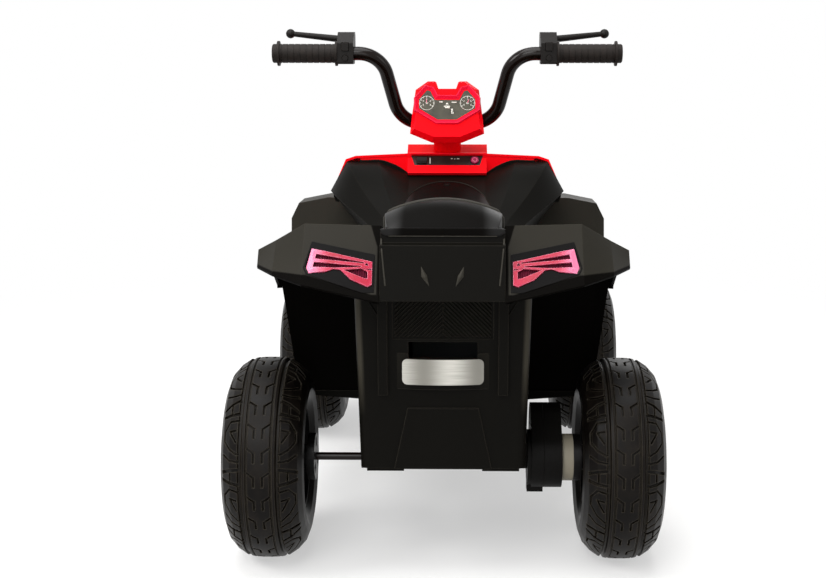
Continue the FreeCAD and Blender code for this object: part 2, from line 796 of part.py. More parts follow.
SMALL_X = LARGE_X + MOTOR_FACE + GEAR_SPACE
SPLIT_X = SMALL_X + GEAR_SPACE / 2
DRIVE_X = SMALL_X + GEAR_SPACE / 4


def tooth_angle(radius, base, pitch_angle):
    """Half angle of a tooth at a radius, from its involute flank."""
    if radius <= base:
        return pitch_angle
    roll = math.acos(base / radius)
    return pitch_angle - (math.tan(roll) - roll)


def gear(teeth, module, phase, start_x, width, centre):
    """Spur gear about an X axis with one tooth centred on a phase angle."""
    pitch = teeth * module / 2
    pressure = math.radians(PRESSURE_ANGLE)
    base = pitch * math.cos(pressure)
    tip = pitch + ADDENDUM_SHARE * module
    root = pitch - DEDENDUM_SHARE * module
    half = TOOTH_SHARE * math.pi / teeth + math.tan(pressure) - pressure
    flank = [root, max(root, base), pitch, (pitch + tip) / 2, tip]
    if root >= base:
        flank.pop(0)
    places = []
    for index in range(teeth):
        middle = phase + 2 * math.pi * index / teeth
        for radius in flank:
            turn = middle - tooth_angle(radius, base, half)
            places.append((radius, turn))
        for radius in flank[::-1]:
            turn = middle + tooth_angle(radius, base, half)
            places.append((radius, turn))
    outline = [Vector(start_x, centre[0] + r * math.cos(t), centre[1] + r * math.sin(t)) for r, t in places]
    return slab(outline, ALONG_X * width)


def about(centre, start_x, diameter, length):
    """Cylinder along X at a gear's centre."""
    return cylinder(Vector(start_x, centre[0], centre[1]), ALONG_X, diameter, length)


SMALL_PHASE = TRAIN_TURN + math.pi
LARGE_PHASE = MOTOR_TURN + math.pi / LARGE_TEETH
PINION_PHASE = MOTOR_TURN + math.pi
DRIVE_PHASE = TRAIN_TURN + math.pi / DRIVE_TEETH


def motor_pinion():
    """Pinion with the motor shaft that carries it."""
    shaft_length = LARGE_X + MOTOR_FACE - GEARBOX_INNER_X + MOTOR_BOSS_LENGTH + OVERRUN
    start = LARGE_X + MOTOR_FACE - shaft_length
    shaft = about(MOTOR_CENTRE, start, MOTOR_SHAFT_DIAMETER, shaft_length)
    pinion = gear(PINION_TEETH, MOTOR_MODULE, PINION_PHASE, LARGE_X, MOTOR_FACE, MOTOR_CENTRE)
    return fused([pinion, shaft])


def reduction_gear():
    """Compound gear with its trunnions."""
    small_length = DRIVE_FACE + GEAR_SPACE / 2
    end_x = SMALL_X + small_length
    pieces = [
        gear(LARGE_TEETH, MOTOR_MODULE, LARGE_PHASE, LARGE_X, MOTOR_FACE, REDUCTION_CENTRE),
        gear(SMALL_TEETH, DRIVE_MODULE, SMALL_PHASE, LARGE_X + MOTOR_FACE, end_x - LARGE_X - MOTOR_FACE,
             REDUCTION_CENTRE),
        about(REDUCTION_CENTRE, CAVITY_X - TRUNNION_LENGTH, TRUNNION_DIAMETER,
              LARGE_X - CAVITY_X + TRUNNION_LENGTH),
        about(REDUCTION_CENTRE, end_x, TRUNNION_DIAMETER,
              GEARBOX_OUTER_X - GEARBOX_WALL + TRUNNION_LENGTH - end_x),
    ]
    return fused(pieces)


def drive_gear():
    """Nylon gear whose ring shows beside the gearbox and turns the wheel by its dogs."""
    teeth_end = DRIVE_X + DRIVE_FACE - GEAR_SPACE / 2
    ring_x = GEARBOX_OUTER_X + MOVE_GAP
    ring_end = WHEEL_X - HUB_INNER_REACH - FIT_GAP
    pieces = [
        gear(DRIVE_TEETH, DRIVE_MODULE, DRIVE_PHASE, DRIVE_X, teeth_end - DRIVE_X, DRIVE_CENTRE),
        about(DRIVE_CENTRE, CAVITY_X + MOVE_GAP, DRIVE_HUB_DIAMETER, DRIVE_X - CAVITY_X - MOVE_GAP),
        about(DRIVE_CENTRE, teeth_end, DRIVE_NECK_DIAMETER, ring_x - teeth_end),
        about(DRIVE_CENTRE, ring_x, DRIVE_RING_DIAMETER, ring_end - ring_x),
    ]
    for index in range(DOG_COUNT):
        tooth = dog(0)
        tooth.rotate(ORIGIN, ALONG_X, index * 360 / DOG_COUNT)
        tooth.translate(Vector(WHEEL_X, REAR_AXLE_Y, AXLE_Z))
        reach = box(Vector(ring_end - RIM_WALL, -LENGTH, -LENGTH), Vector(WHEEL_X, LENGTH, LENGTH))
        pieces.append(tooth.common(reach))
    body = fused(pieces)
    bore = about(DRIVE_CENTRE, CAVITY_X - OVERRUN, AXLE_DIAMETER + RUN_GAP * 2, WHEEL_X - CAVITY_X)
    return body.cut(bore)


def capsule(first, first_radius, second, second_radius, start_x, length):
    """Prism over two circles and their outer tangents, along X."""
    run = (second[0] - first[0], second[1] - first[1])
    span = math.hypot(run[0], run[1])
    heading = math.atan2(run[1], run[0])
    lean = math.acos((first_radius - second_radius) / span)
    places = []
    for centre, radius, turn in ((first, first_radius, lean), (second, second_radius, lean),
                                 (second, second_radius, -lean), (first, first_radius, -lean)):
        places.append(Vector(start_x, centre[0] + radius * math.cos(heading + turn),
                             centre[1] + radius * math.sin(heading + turn)))
    pieces = [
        about(first, start_x, first_radius * 2, length),
        about(second, start_x, second_radius * 2, length),
        slab(places, ALONG_X * length),
    ]
    return fused(pieces)


def train_prism(margin, start_x, length):
    """Gearbox outline over the three gear centres, with a margin round the teeth."""
    drive = DRIVE_TEETH * DRIVE_MODULE / 2 + DRIVE_MODULE + margin
    large = LARGE_TEETH * MOTOR_MODULE / 2 + MOTOR_MODULE + margin
    end = MOTOR_DIAMETER / 2 - GEARBOX_WALL + margin
    front = capsule(REDUCTION_CENTRE, large, MOTOR_CENTRE, end, start_x, length)
    back = capsule(DRIVE_CENTRE, drive, REDUCTION_CENTRE, large, start_x, length)
    return back.fuse(front).removeSplitter()


TEETH_MARGIN = GEAR_SPACE
HOUSING_MARGIN = TEETH_MARGIN + GEARBOX_WALL


def gearbox_lug(start_x, end_x, drop):
    """Foot under the gearbox, below the axle."""
    half = LUG_LENGTH / 2
    return box(Vector(start_x, REAR_AXLE_Y - half, AXLE_Z - drop),
               Vector(end_x, REAR_AXLE_Y + half, AXLE_Z - DRIVE_RING_DIAMETER / 2))


def gearbox_inner():
    """Gearbox half on the body's side, with the flange that seats on the axle carrier."""
    shell = train_prism(HOUSING_MARGIN, GEARBOX_INNER_X, SPLIT_X - GEARBOX_INNER_X)
    flange = about(DRIVE_CENTRE, GEARBOX_X, DRIVE_RING_DIAMETER + HOUSING_MARGIN * 2, GEARBOX_FLANGE)
    body = fused([shell, flange, gearbox_lug(GEARBOX_X, SPLIT_X, LUG_DROP)])
    can = about(MOTOR_CENTRE, GEARBOX_X - OVERRUN, MOTOR_DIAMETER + FIT_GAP * 2, OVERRUN + GEARBOX_FLANGE)
    cavity = train_prism(TEETH_MARGIN, CAVITY_X, SPLIT_X)
    axle = about(DRIVE_CENTRE, GEARBOX_X - OVERRUN, AXLE_DIAMETER + FIT_GAP * 2, GEARBOX_DEPTH)
    shaft = about(MOTOR_CENTRE, GEARBOX_X - OVERRUN, MOTOR_BOSS_DIAMETER + FIT_GAP * 2, GEARBOX_DEPTH)
    seat = about(REDUCTION_CENTRE, CAVITY_X - TRUNNION_LENGTH - RUN_GAP * 2,
                 TRUNNION_DIAMETER + RUN_GAP * 2, GEARBOX_DEPTH)
    return body.cut([can, cavity, axle, shaft, seat])


def gearbox_outer():
    """Gearbox half on the wheel's side, open for the drive gear's neck."""
    start = SPLIT_X + FIT_GAP
    body = train_prism(HOUSING_MARGIN, start, GEARBOX_OUTER_X - start)
    cavity = train_prism(TEETH_MARGIN, start - OVERRUN, GEARBOX_OUTER_X - GEARBOX_WALL - start + OVERRUN)
    neck = about(DRIVE_CENTRE, start, DRIVE_NECK_DIAMETER + MOVE_GAP * 2, GEARBOX_DEPTH)
    lug = gearbox_lug(start, GEARBOX_OUTER_X, LUG_DROP - LUG_STEP)
    seat = about(REDUCTION_CENTRE, start, TRUNNION_DIAMETER + RUN_GAP * 2,
                 GEARBOX_OUTER_X - GEARBOX_WALL + TRUNNION_LENGTH + RUN_GAP * 2 - start)
    return fused([body, lug]).cut([cavity, neck, seat])


def motor():
    """Can motor under the floor, its front boss in the gearbox wall."""
    can_end = GEARBOX_INNER_X - FIT_GAP
    can = about(MOTOR_CENTRE, can_end - MOTOR_LENGTH, MOTOR_DIAMETER, MOTOR_LENGTH)
    can = can.makeChamfer(GEARBOX_WALL / 2, [edge for edge in can.Edges if edge.Length > MOTOR_LENGTH])
    boss = about(MOTOR_CENTRE, can_end, MOTOR_BOSS_DIAMETER, MOTOR_BOSS_LENGTH)
    tail = about(MOTOR_CENTRE, can_end - MOTOR_LENGTH - MOTOR_BOSS_LENGTH, MOTOR_BOSS_DIAMETER,
                 MOTOR_BOSS_LENGTH)
    bore = about(MOTOR_CENTRE, can_end - OVERRUN * 2, MOTOR_SHAFT_DIAMETER + RUN_GAP * 2, OVERRUN * 3)
    return fused([can, boss, tail]).cut(bore)


# Lower body
def tub_half_width(base, z):
    return base + TUB_DRAFT * (z - FLOOR_Z) / TUB_HEIGHT


def tub_outline(grow, z):
    """Plan outline of the tub at one height."""
    rear = tub_half_width(TUB_HALF_WIDTH, z)
    nose = tub_half_width(NOSE_HALF_WIDTH, z)
    neck_y = FRONT_AXLE_Y - TUB_NECK
    half = [(rear, TUB_REAR_Y), (rear, neck_y), (nose, neck_y + TUB_NECK_LENGTH),
            (nose, FRONT_AXLE_Y + TUB_FRONT)]
    outline = half + [(-x, y) for x, y in half[::-1]]
    moved = offset_path(outline, -grow, True)
    return [Vector(x, y, z) for x, y in moved]


def tub_form(grow, low, high):
    """Drafted tub grown or shrunk evenly, between two heights."""
    wires = [rounded_ring(tub_outline(grow, z), CORNER_RADIUS + grow) for z in (low, high)]
    return Part.makeLoft(wires, True, True)


def tub_envelope():
    """Space that the tub and its footboards take from the panels that seat on them."""
    tub = tub_form(FIT_GAP, FLOOR_Z - OVERRUN, TUB_TOP + FIT_GAP)
    boards = box(Vector(-TRACK, REAR_AXLE_Y, FLOOR_Z - OVERRUN),
                 Vector(TRACK, FRONT_AXLE_Y, FOOTBOARD_TOP + FIT_GAP))
    return [tub, boards]


def wall_height(share):
    return FLOOR_Z + share * TUB_HEIGHT


def rear_slab(path, depth):
    """Outline on the rear wall raised backward by a depth, or sunk where it is below zero."""
    root = WALL / 2 if depth > 0 else -OVERRUN
    tip = -depth
    return slab(xz(TUB_REAR_Y + root, path), Vector(0, tip - root, 0))


def rectangle(half_width, low, high):
    return [(-half_width, low), (half_width, low), (half_width, high), (-half_width, high)]


def plate_bulge():
    """Pad on the rear wall, curved in plan, that carries the plate."""
    half_height = PLATE_HEIGHT / 2 + BULGE_MARGIN
    half_width = PLATE_HALF_WIDTH + BULGE_MARGIN
    low_z = wall_height(PLATE_CENTRE_SHARE) - half_height
    sunk_y = TUB_REAR_Y + WALL / 2
    left = Vector(-half_width, TUB_REAR_Y, low_z)
    right = Vector(half_width, TUB_REAR_Y, low_z)
    crown = Vector(0, TUB_REAR_Y - BULGE_DEPTH, low_z)
    back = [right, Vector(half_width, sunk_y, low_z), Vector(-half_width, sunk_y, low_z), left]
    wire = Part.Wire([Part.Arc(left, crown, right).toShape(), Part.makePolygon(back)])
    return Part.Face(wire).extrude(ALONG_Z * half_height * 2)


def plate_curve(depth):
    """Upright cylinder of the pad's surface at a depth, to cut the plate from."""
    half_width = PLATE_HALF_WIDTH + BULGE_MARGIN
    radius = (half_width ** 2 + BULGE_DEPTH ** 2) / (2 * BULGE_DEPTH)
    centre = Vector(0, TUB_REAR_Y + radius - BULGE_DEPTH, 0)
    return Part.makeCylinder(radius + depth, TUB_TOP, centre, ALONG_Z)


def rear_plate():
    """Bare plate that follows the bulge."""
    centre = wall_height(PLATE_CENTRE_SHARE)
    corners = rectangle(PLATE_HALF_WIDTH, centre - PLATE_HEIGHT / 2, centre + PLATE_HEIGHT / 2)
    outline = rounded_ring(xz(TUB_REAR_Y - BULGE_DEPTH * 2, corners), PLATE_RADIUS)
    blank = Part.Face(outline).extrude(ALONG_Y * BULGE_DEPTH * 2)
    return blank.common(plate_curve(FIT_GAP + PLATE_THICKNESS)).cut(plate_curve(FIT_GAP))


def footboard(side):
    """Foot rest with an outer lip and raised ribs."""
    rear_y = REAR_AXLE_Y + FOOTBOARD_REAR
    front_y = FRONT_AXLE_Y - FOOTBOARD_FRONT
    low = FLOOR_Z + FOOTBOARD_RISE
    inner = TUB_HALF_WIDTH - WALL
    plate = box(Vector(inner, rear_y, low), Vector(FOOTBOARD_HALF_WIDTH, front_y, FOOTBOARD_TOP))
    lip = box(Vector(FOOTBOARD_HALF_WIDTH - WALL, rear_y, low - FOOTBOARD_LIP),
              Vector(FOOTBOARD_HALF_WIDTH, front_y, low))
    web_places = [(inner, low - FOOTBOARD_LIP / 2), (inner, low), (FOOTBOARD_HALF_WIDTH - WALL, low)]
    pieces = [plate, lip]
    for y in (rear_y, front_y - WALL):
        pieces.append(slab(xz(y, web_places), ALONG_Y * WALL))
    count = int((front_y - rear_y) / 2 / TREAD_RIB_PITCH)
    for index in range(count):
        y = rear_y + TREAD_RIB_PITCH * (index + 1)
        pieces.append(box(Vector(TUB_HALF_WIDTH + TREAD_RIB_PITCH, y, FOOTBOARD_TOP - WALL / 2),
                          Vector(FOOTBOARD_HALF_WIDTH - TREAD_RIB_PITCH, y + TREAD_RIB_WIDTH,
                                 FOOTBOARD_TOP + TREAD_RIB_HEIGHT)))
    return pieces if side > 0 else [mirrored(piece) for piece in pieces]


def axle_carrier(side):
    """Rounded boss under the floor that holds the rear axle."""
    outer = GEARBOX_X - FIT_GAP
    inner = outer - CARRIER_WIDTH
    start = inner if side > 0 else -outer
    boss = about(DRIVE_CENTRE, start, CARRIER_RADIUS * 2, CARRIER_WIDTH)
    stem = box(Vector(start, REAR_AXLE_Y - CARRIER_RADIUS, AXLE_Z),
               Vector(start + CARRIER_WIDTH, REAR_AXLE_Y + CARRIER_RADIUS, FLOOR_Z + WALL))
    return fused([boss, stem])


KINGPIN_BOTTOM = FLOOR_Z + WALL
KINGPIN_TOP = KINGPIN_BOTTOM + KINGPIN_BOSS_HEIGHT


def kingpin_arm():
    """Cross member with the boss in which the right kingpin turns."""
    boss = cylinder(Vector(KINGPIN_X, FRONT_AXLE_Y, KINGPIN_BOTTOM), ALONG_Z, KINGPIN_BOSS_DIAMETER,
                    KINGPIN_BOSS_HEIGHT)
    beam = box(Vector(NOSE_HALF_WIDTH - WALL, FRONT_AXLE_Y - BEAM_WIDTH / 2, KINGPIN_BOTTOM),
               Vector(KINGPIN_X, FRONT_AXLE_Y + BEAM_WIDTH / 2, KINGPIN_TOP))
    boss_x = KINGPIN_X - KINGPIN_BOSS_DIAMETER / 2
    slope = [(NOSE_HALF_WIDTH + TUB_DRAFT, KINGPIN_TOP + KINGPIN_BOSS_HEIGHT / 2),
             (NOSE_HALF_WIDTH - WALL, KINGPIN_TOP + KINGPIN_BOSS_HEIGHT / 2),
             (NOSE_HALF_WIDTH - WALL, KINGPIN_TOP - WALL), (boss_x, KINGPIN_TOP - WALL),
             (boss_x, KINGPIN_TOP)]
    gusset = slab(xz(FRONT_AXLE_Y - WALL, slope), ALONG_Y * WALL * 2)
    return fused([boss, beam, gusset])


def kingpin_bore(side):
    start = Vector(side * KINGPIN_X, FRONT_AXLE_Y, KINGPIN_BOTTOM - OVERRUN)
    return cylinder(start, ALONG_Z, KINGPIN_DIAMETER + RUN_GAP * 2, KINGPIN_BOSS_HEIGHT + OVERRUN * 2)


def pedal_ears():
    """Two ears on the right footboard with the pedal's pin holes."""
    pieces = []
    for side in (-1, 1):
        inner = PEDAL_X + side * (PEDAL_WIDTH / 2 + MOVE_GAP)
        low_x = min(inner, inner + side * PEDAL_EAR)
        centre = (PEDAL_Y, PEDAL_Z)
        disc = about(centre, low_x, PEDAL_PIN_DIAMETER * 2, PEDAL_EAR)
        foot = box(Vector(low_x, PEDAL_Y - PEDAL_PIN_DIAMETER, FOOTBOARD_TOP - WALL / 2),
                   Vector(low_x + PEDAL_EAR, PEDAL_Y + PEDAL_PIN_DIAMETER, PEDAL_Z))
        pieces += [disc, foot]
    return pieces


PEDAL_Y = FRONT_AXLE_Y - PEDAL_SETBACK
PEDAL_Z = FOOTBOARD_TOP + TREAD_RIB_HEIGHT + PEDAL_PIN_RISE


def column_point(distance):
    """Point on the steering axis, measured up the axis from the handlebar."""
    return BAR_CENTRE + STEER_AXIS * distance


STEER_TURN = math.radians(RAKE)
STEER_AXIS = Vector(0, -math.sin(STEER_TURN), math.cos(STEER_TURN))
STEER_AHEAD = Vector(0, math.cos(STEER_TURN), math.sin(STEER_TURN))
BAR_CENTRE = Vector(0, FRONT_AXLE_Y - BAR_SETBACK, TUB_TOP + BAR_RISE)
FLOOR_DISTANCE = (FLOOR_Z - BAR_CENTRE.z) / math.cos(STEER_TURN)
CRANK_DISTANCE = FLOOR_DISTANCE - CRANK_DEPTH
BUSH_DIAMETER = COLUMN_DIAMETER + BUSH_WALL * 2
BOSS_DIAMETER = BUSH_DIAMETER + BUSH_WALL * 4


def column_boss():
    """Raked boss in the floor for the lower column bush."""
    start = column_point(FLOOR_DISTANCE - BUSH_HEIGHT)
    boss = cylinder(start, STEER_AXIS, BOSS_DIAMETER, BUSH_HEIGHT * 2)
    floor_slice = box(Vector(-LENGTH, -LENGTH, FLOOR_Z), Vector(LENGTH, LENGTH, TUB_TOP))
    return boss.common(floor_slice)


def battery_walls():
    """Ribs on the floor that hold the battery."""
    y = REAR_AXLE_Y + BATTERY_FORWARD
    outer_x = BATTERY_LENGTH / 2 + FIT_GAP + WALL
    outer_y = BATTERY_WIDTH / 2 + FIT_GAP + WALL
    high = FLOOR_Z + BATTERY_HEIGHT / 3
    outside = box(Vector(-outer_x, y - outer_y, FLOOR_Z + WALL / 2), Vector(outer_x, y + outer_y, high))
    inside = box(Vector(WALL - outer_x, y - outer_y + WALL, FLOOR_Z),
                 Vector(outer_x - WALL, y + outer_y - WALL, TUB_TOP))
    return outside.cut(inside)


def board_posts():
    y = FRONT_AXLE_Y - BOARD_SETBACK
    pieces = []
    for side_x in (-1, 1):
        for side_y in (-1, 1):
            place = Vector(side_x * (BOARD_WIDTH / 2 - BOARD_POST),
                           y + side_y * (BOARD_LENGTH / 2 - BOARD_POST),
                           FLOOR_Z + WALL / 2)
            pieces.append(cylinder(place, ALONG_Z, BOARD_POST, BOARD_POST + WALL / 2))
    return pieces


def motor_window():
    """Opening in the floor and the foot of the side wall, over the motor's can."""
    half = MOTOR_DIAMETER / 2 + MOTOR_WINDOW_GAP
    inner_x = GEARBOX_INNER_X - FIT_GAP - MOTOR_LENGTH - MOTOR_BOSS_LENGTH - MOTOR_WINDOW_GAP
    return box(Vector(inner_x, MOTOR_CENTRE[0] - half, FLOOR_Z - OVERRUN),
               Vector(GEARBOX_INNER_X + OVERRUN, MOTOR_CENTRE[0] + half, FLOOR_Z + WALL * 2))


def lower_body():
    """Tub with footboards, axle carriers, kingpin arms and the moulded rear wall."""
    outer = tub_form(0, FLOOR_Z, TUB_TOP)
    inner = tub_form(-WALL, FLOOR_Z + WALL, TUB_TOP + OVERRUN)
    nose_y = FRONT_AXLE_Y - TUB_NECK
    front_y = FRONT_AXLE_Y + TUB_FRONT + OVERRUN
    slope = [(nose_y, TUB_TOP), (front_y, TUB_TOP - NOSE_DROP), (front_y, TUB_TOP + OVERRUN),
             (nose_y, TUB_TOP + OVERRUN)]
    nose_cut = slab(yz(-TRACK / 2, slope), ALONG_X * TRACK)
    shell = outer.cut([inner, nose_cut])
    pieces = [shell, column_boss(), battery_walls(), plate_bulge()]
    pieces += board_posts()
    for side in (-1, 1):
        pieces += footboard(side)
        pieces.append(axle_carrier(side))
        low_x = side * PILLAR_X - PILLAR_WIDTH / 2
        foot = wall_height(PILLAR_FOOT_SHARE)
        pillar = [(low_x, foot), (low_x + PILLAR_WIDTH, foot),
                  (low_x + PILLAR_WIDTH, wall_height(PILLAR_TOP_SHARE)),
                  (low_x, wall_height(PILLAR_TOP_SHARE))]
        pieces.append(rear_slab(pillar, PILLAR_DEPTH))
        skid_x = (side * SKID_INNER_X, side * SKID_OUTER_X)
        pieces.append(box(Vector(min(skid_x), TUB_REAR_Y + WALL, FLOOR_Z - SKID_HEIGHT),
                          Vector(max(skid_x), TUB_REAR_Y + WALL + SKID_LENGTH, FLOOR_Z + WALL / 2)))
    arm = kingpin_arm()
    pieces += [arm, mirrored(arm)]
    pieces += pedal_ears()
    apron_top = wall_height(APRON_TOP_SHARE)
    apron = [(-APRON_HALF_WIDTH, FLOOR_Z), (APRON_HALF_WIDTH, FLOOR_Z), (APRON_TOP_HALF_WIDTH, apron_top),
             (-APRON_TOP_HALF_WIDTH, apron_top)]
    pieces.append(rear_slab(apron, APRON_DEPTH))
    body = fused(pieces)
    cuts = [kingpin_bore(-1), kingpin_bore(1)]
    cuts.append(about(DRIVE_CENTRE, -TRACK / 2, AXLE_DIAMETER + FIT_GAP * 2, TRACK))
    cuts.append(cylinder(column_point(FLOOR_DISTANCE - BUSH_HEIGHT * 2), STEER_AXIS,
                         BUSH_DIAMETER + FIT_GAP * 2,
                         BUSH_HEIGHT * 4))
    recess_low, recess_high = [wall_height(share) for share in RECESS_SHARES]
    cuts.append(rear_slab(rectangle(RECESS_HALF_WIDTH, recess_low, recess_high), -RECESS_DEPTH))
    slot_low, slot_high = [wall_height(share) for share in SLOT_SHARES]
    cuts.append(rear_slab(rectangle(SLOT_HALF_WIDTH, slot_low, slot_high), -WALL - OVERRUN / 2))
    cuts.append(about((PEDAL_Y, PEDAL_Z), PEDAL_X - PEDAL_WIDTH, PEDAL_PIN_DIAMETER + RUN_GAP * 2,
                      PEDAL_WIDTH * 2))
    cuts.append(motor_window())
    cuts.append(socket_hole())
    return body.cut(cuts)


# Rear fender body, tail panel and lamps
def wing_path(shares):
    """Side-view path of one wing station: tail, top edge, deck and guard foot."""
    tail, edge, deck, front = shares
    path = []
    for y_share, z_share in (tail, edge):
        path.append((REAR_AXLE_Y + y_share * REAR_OVERHANG, TUB_TOP + z_share * WING_HEIGHT))
    for y_share, z_share in (deck, front):
        path.append((REAR_AXLE_Y + y_share * ARCH_REACH, TUB_TOP + z_share * WING_HEIGHT))
    path.append((REAR_AXLE_Y + GUARD_FOOT_SHARE * ARCH_REACH, FOOTBOARD_TOP - OVERRUN))
    return path


def wing():
    """Right wing: a folded shell from the tail edge over the wheel to the footboard."""
    sections = []
    for x_share, shares in WING_SECTION_SHARES:
        x = WING_INNER_X + x_share * (WING_SPAN - WING_INNER_X)
        sections.append(yz(x, strip(wing_path(shares), WING_WALL)))
    shell = ruled(sections)
    tip_path = wing_path(WING_SECTION_SHARES[-1][1])[1:4]
    lowered = [(y, z - WING_LIP) for y, z in tip_path[::-1]]
    lip = slab(yz(WING_SPAN - WING_WALL, tip_path + lowered), ALONG_X * WING_WALL)
    guard_low = FOOTBOARD_TOP - OVERRUN * 2
    trim = [(GUARD_OUTER_BOTTOM_SHARE * WING_SPAN, guard_low), (WING_SPAN * 2, guard_low),
            (WING_SPAN * 2, TUB_TOP - GUARD_TRIM),
            (GUARD_OUTER_TOP_SHARE * WING_SPAN, TUB_TOP - GUARD_TRIM)]
    trimmed = slab(xz(REAR_AXLE_Y, trim), ALONG_Y * ARCH_REACH * 2)
    return fused([shell, lip]).cut(trimmed)


def deck_path(front_y):
    """Side-view path of the saddle under the seat."""
    path = [(REAR_AXLE_Y + y * REAR_OVERHANG, TUB_TOP + z * WING_HEIGHT) for y, z in DECK_SHARES]
    path.append((front_y, TUB_TOP + FIT_GAP + WALL))
    return path


TANK_REAR_Y = FRONT_AXLE_Y - TANK_FRONT - TANK_LENGTH


def saddle():
    """Deck between the wings with the battery hatch and its two side ridges."""
    front_y = TANK_REAR_Y - FIT_GAP
    path = deck_path(front_y)
    reach = WING_INNER_X + RIDGE_WIDTH / 2
    deck = slab(yz(-reach, strip(path, WALL)), ALONG_X * reach * 2)
    hatch_y = path[2][0]
    hatch = box(Vector(-HATCH_HALF_WIDTH, hatch_y, TUB_TOP - OVERRUN),
                Vector(HATCH_HALF_WIDTH, min(hatch_y + HATCH_LENGTH, front_y - WALL * 2),
                       TUB_TOP + WING_HEIGHT))
    upper = offset_path(wing_path(WING_SECTION_SHARES[0][1])[:4], -WALL / 2, False)
    lower = offset_path(path, -WALL / 2, False)
    ridge_path = upper + lower[2::-1]
    ridge = slab(yz(WING_INNER_X, ridge_path), ALONG_X * RIDGE_WIDTH)
    rim = TUB_HALF_WIDTH + TUB_DRAFT
    shoulder = box(Vector(-rim, hatch_y, TUB_TOP + FIT_GAP), Vector(rim, front_y, TUB_TOP + FIT_GAP + WALL))
    return [deck.cut(hatch), ridge, mirrored(ridge), shoulder.cut(hatch)]


def lamp_outline(grow):
    low_z = TUB_TOP + LAMP_RISE
    path = [(LAMP_INNER_X + x * LAMP_WIDTH, low_z + z * LAMP_HEIGHT) for x, z in LAMP_OUTLINE_SHARES]
    return offset_path(path, grow, True)


def lamp_prism(grow):
    return slab(xz(REAR_AXLE_Y - REAR_OVERHANG - OVERRUN, lamp_outline(grow)), ALONG_Y * LAMP_REACH)


def rear_body(envelope):
    right = wing()
    body = fused([right, mirrored(right)] + saddle())
    hole = lamp_prism(FIT_GAP)
    return body.cut(envelope + [hole, mirrored(hole)])


def tail_lamps():
    """Pair of lenses that fill the lamp openings of the wings."""
    lens = wing().common(lamp_prism(0))
    return Part.makeCompound([lens, mirrored(lens)])


def tail_panel():
    """Centre panel between the wings, stepped under its top lip."""
    path = [(REAR_AXLE_Y + y * REAR_OVERHANG, TUB_TOP + z * WING_HEIGHT) for y, z in TAIL_SHARES]
    half = WING_INNER_X - FIT_GAP
    return slab(yz(-half, strip(path, WALL)), ALONG_X * half * 2)


# Seat
SEAT_REAR_Y = REAR_AXLE_Y - SEAT_REAR
SEAT_FRONT_Y = FRONT_AXLE_Y - SEAT_FRONT


def seat_wire(shares, grow, drop):
    """Cross section of the seat with a crowned top."""
    place, width, low, shoulder, crown = shares
    y = SEAT_REAR_Y + place * (SEAT_FRONT_Y - SEAT_REAR_Y)
    half = width * SEAT_HALF_WIDTH + grow
    low_z = TUB_TOP + low * SEAT_HEIGHT - drop
    side_z = TUB_TOP + shoulder * SEAT_HEIGHT + grow
    top_z = TUB_TOP + crown * SEAT_HEIGHT + grow
    left_low = Vector(-half, y, low_z)
    right_low = Vector(half, y, low_z)
    left = Vector(-half, y, side_z)
    right = Vector(half, y, side_z)
    edges = [
        Part.LineSegment(left_low, right_low).toShape(),
        Part.LineSegment(right_low, right).toShape(),
        Part.Arc(right, Vector(0, y, top_z), left).toShape(),
        Part.LineSegment(left, left_low).toShape(),
    ]
    return Part.Wire(edges)


def seat_form(grow, drop):
    wires = [seat_wire(shares, grow, drop) for shares in SEAT_SECTION_SHARES]
    return Part.makeLoft(wires, True, False)


def seat():
    """Moulded seat shell from the tail hump to the tongue on the tank."""
    outer = seat_form(0, 0)
    inner = seat_form(-WALL, WALL * 4)
    front_y = TANK_REAR_Y - FIT_GAP
    half = WING_INNER_X + RIDGE_WIDTH
    path = deck_path(front_y + TANK_LENGTH / 4)
    lowered = [(path[-1][0], TUB_TOP - OVERRUN), (SEAT_REAR_Y - OVERRUN, TUB_TOP - OVERRUN)]
    raised = offset_path(path, FIT_GAP, False)
    raised.insert(0, (SEAT_REAR_Y - OVERRUN, raised[0][1]))
    bed = slab(yz(-half, raised + lowered), ALONG_X * half * 2)
    reach = box(Vector(-TRACK, SEAT_REAR_Y + WALL, 0), Vector(TRACK, SEAT_FRONT_Y - WALL, LENGTH))
    return outer.cut([inner.common(reach), bed] + [screw_hole(place) for place in screw_places()[2:]])


# Tank cover
def tank_outline(half_shares, y, inset, bottom):
    half = [(x * TANK_HALF_WIDTH, TUB_TOP + FIT_GAP + z * TANK_HEIGHT) for x, z in half_shares]
    outline = mirror_outline(half)
    if inset:
        outline = offset_path(outline, inset, True)
        last = len(half) - 1
        outline[last] = (outline[last][0], bottom)
        outline[last + 1] = (outline[last + 1][0], bottom)
    return ring(xz(y, outline))


def tank_form(inset):
    wires = []
    for place, half in TANK_SECTION_SHARES:
        y = FRONT_AXLE_Y - TANK_FRONT - place * TANK_LENGTH
        wires.append(tank_outline(half, y, inset, TUB_TOP - OVERRUN))
    return Part.makeLoft(wires, True, False)


def tank_cover():
    """Black cover with a knee pod each side of the seat's tongue."""
    outer = tank_form(0)
    inner = tank_form(WALL)
    opened = box(Vector(-TRACK, TANK_REAR_Y + WALL, 0), Vector(TRACK, FRONT_AXLE_Y, LENGTH))
    cuts = [inner.common(opened), seat_form(FIT_GAP, FIT_GAP), dash_block(FIT_GAP)]
    return outer.cut(cuts)


# Hood and dash
def hood_outline(half_shares, y, inset):
    low_z = TUB_TOP + HOOD_TOP_RISE - HOOD_HEIGHT
    half = [(x * HOOD_HALF_WIDTH, low_z + z * HOOD_HEIGHT) for x, z in half_shares]
    outline = mirror_outline(half)
    if inset:
        outline = offset_path(outline, inset, True)
        last = len(half) - 1
        for index in (last, last + 1):
            outline[index] = (outline[index][0], outline[index][1] - WALL * 2)
    return xz(y, outline)


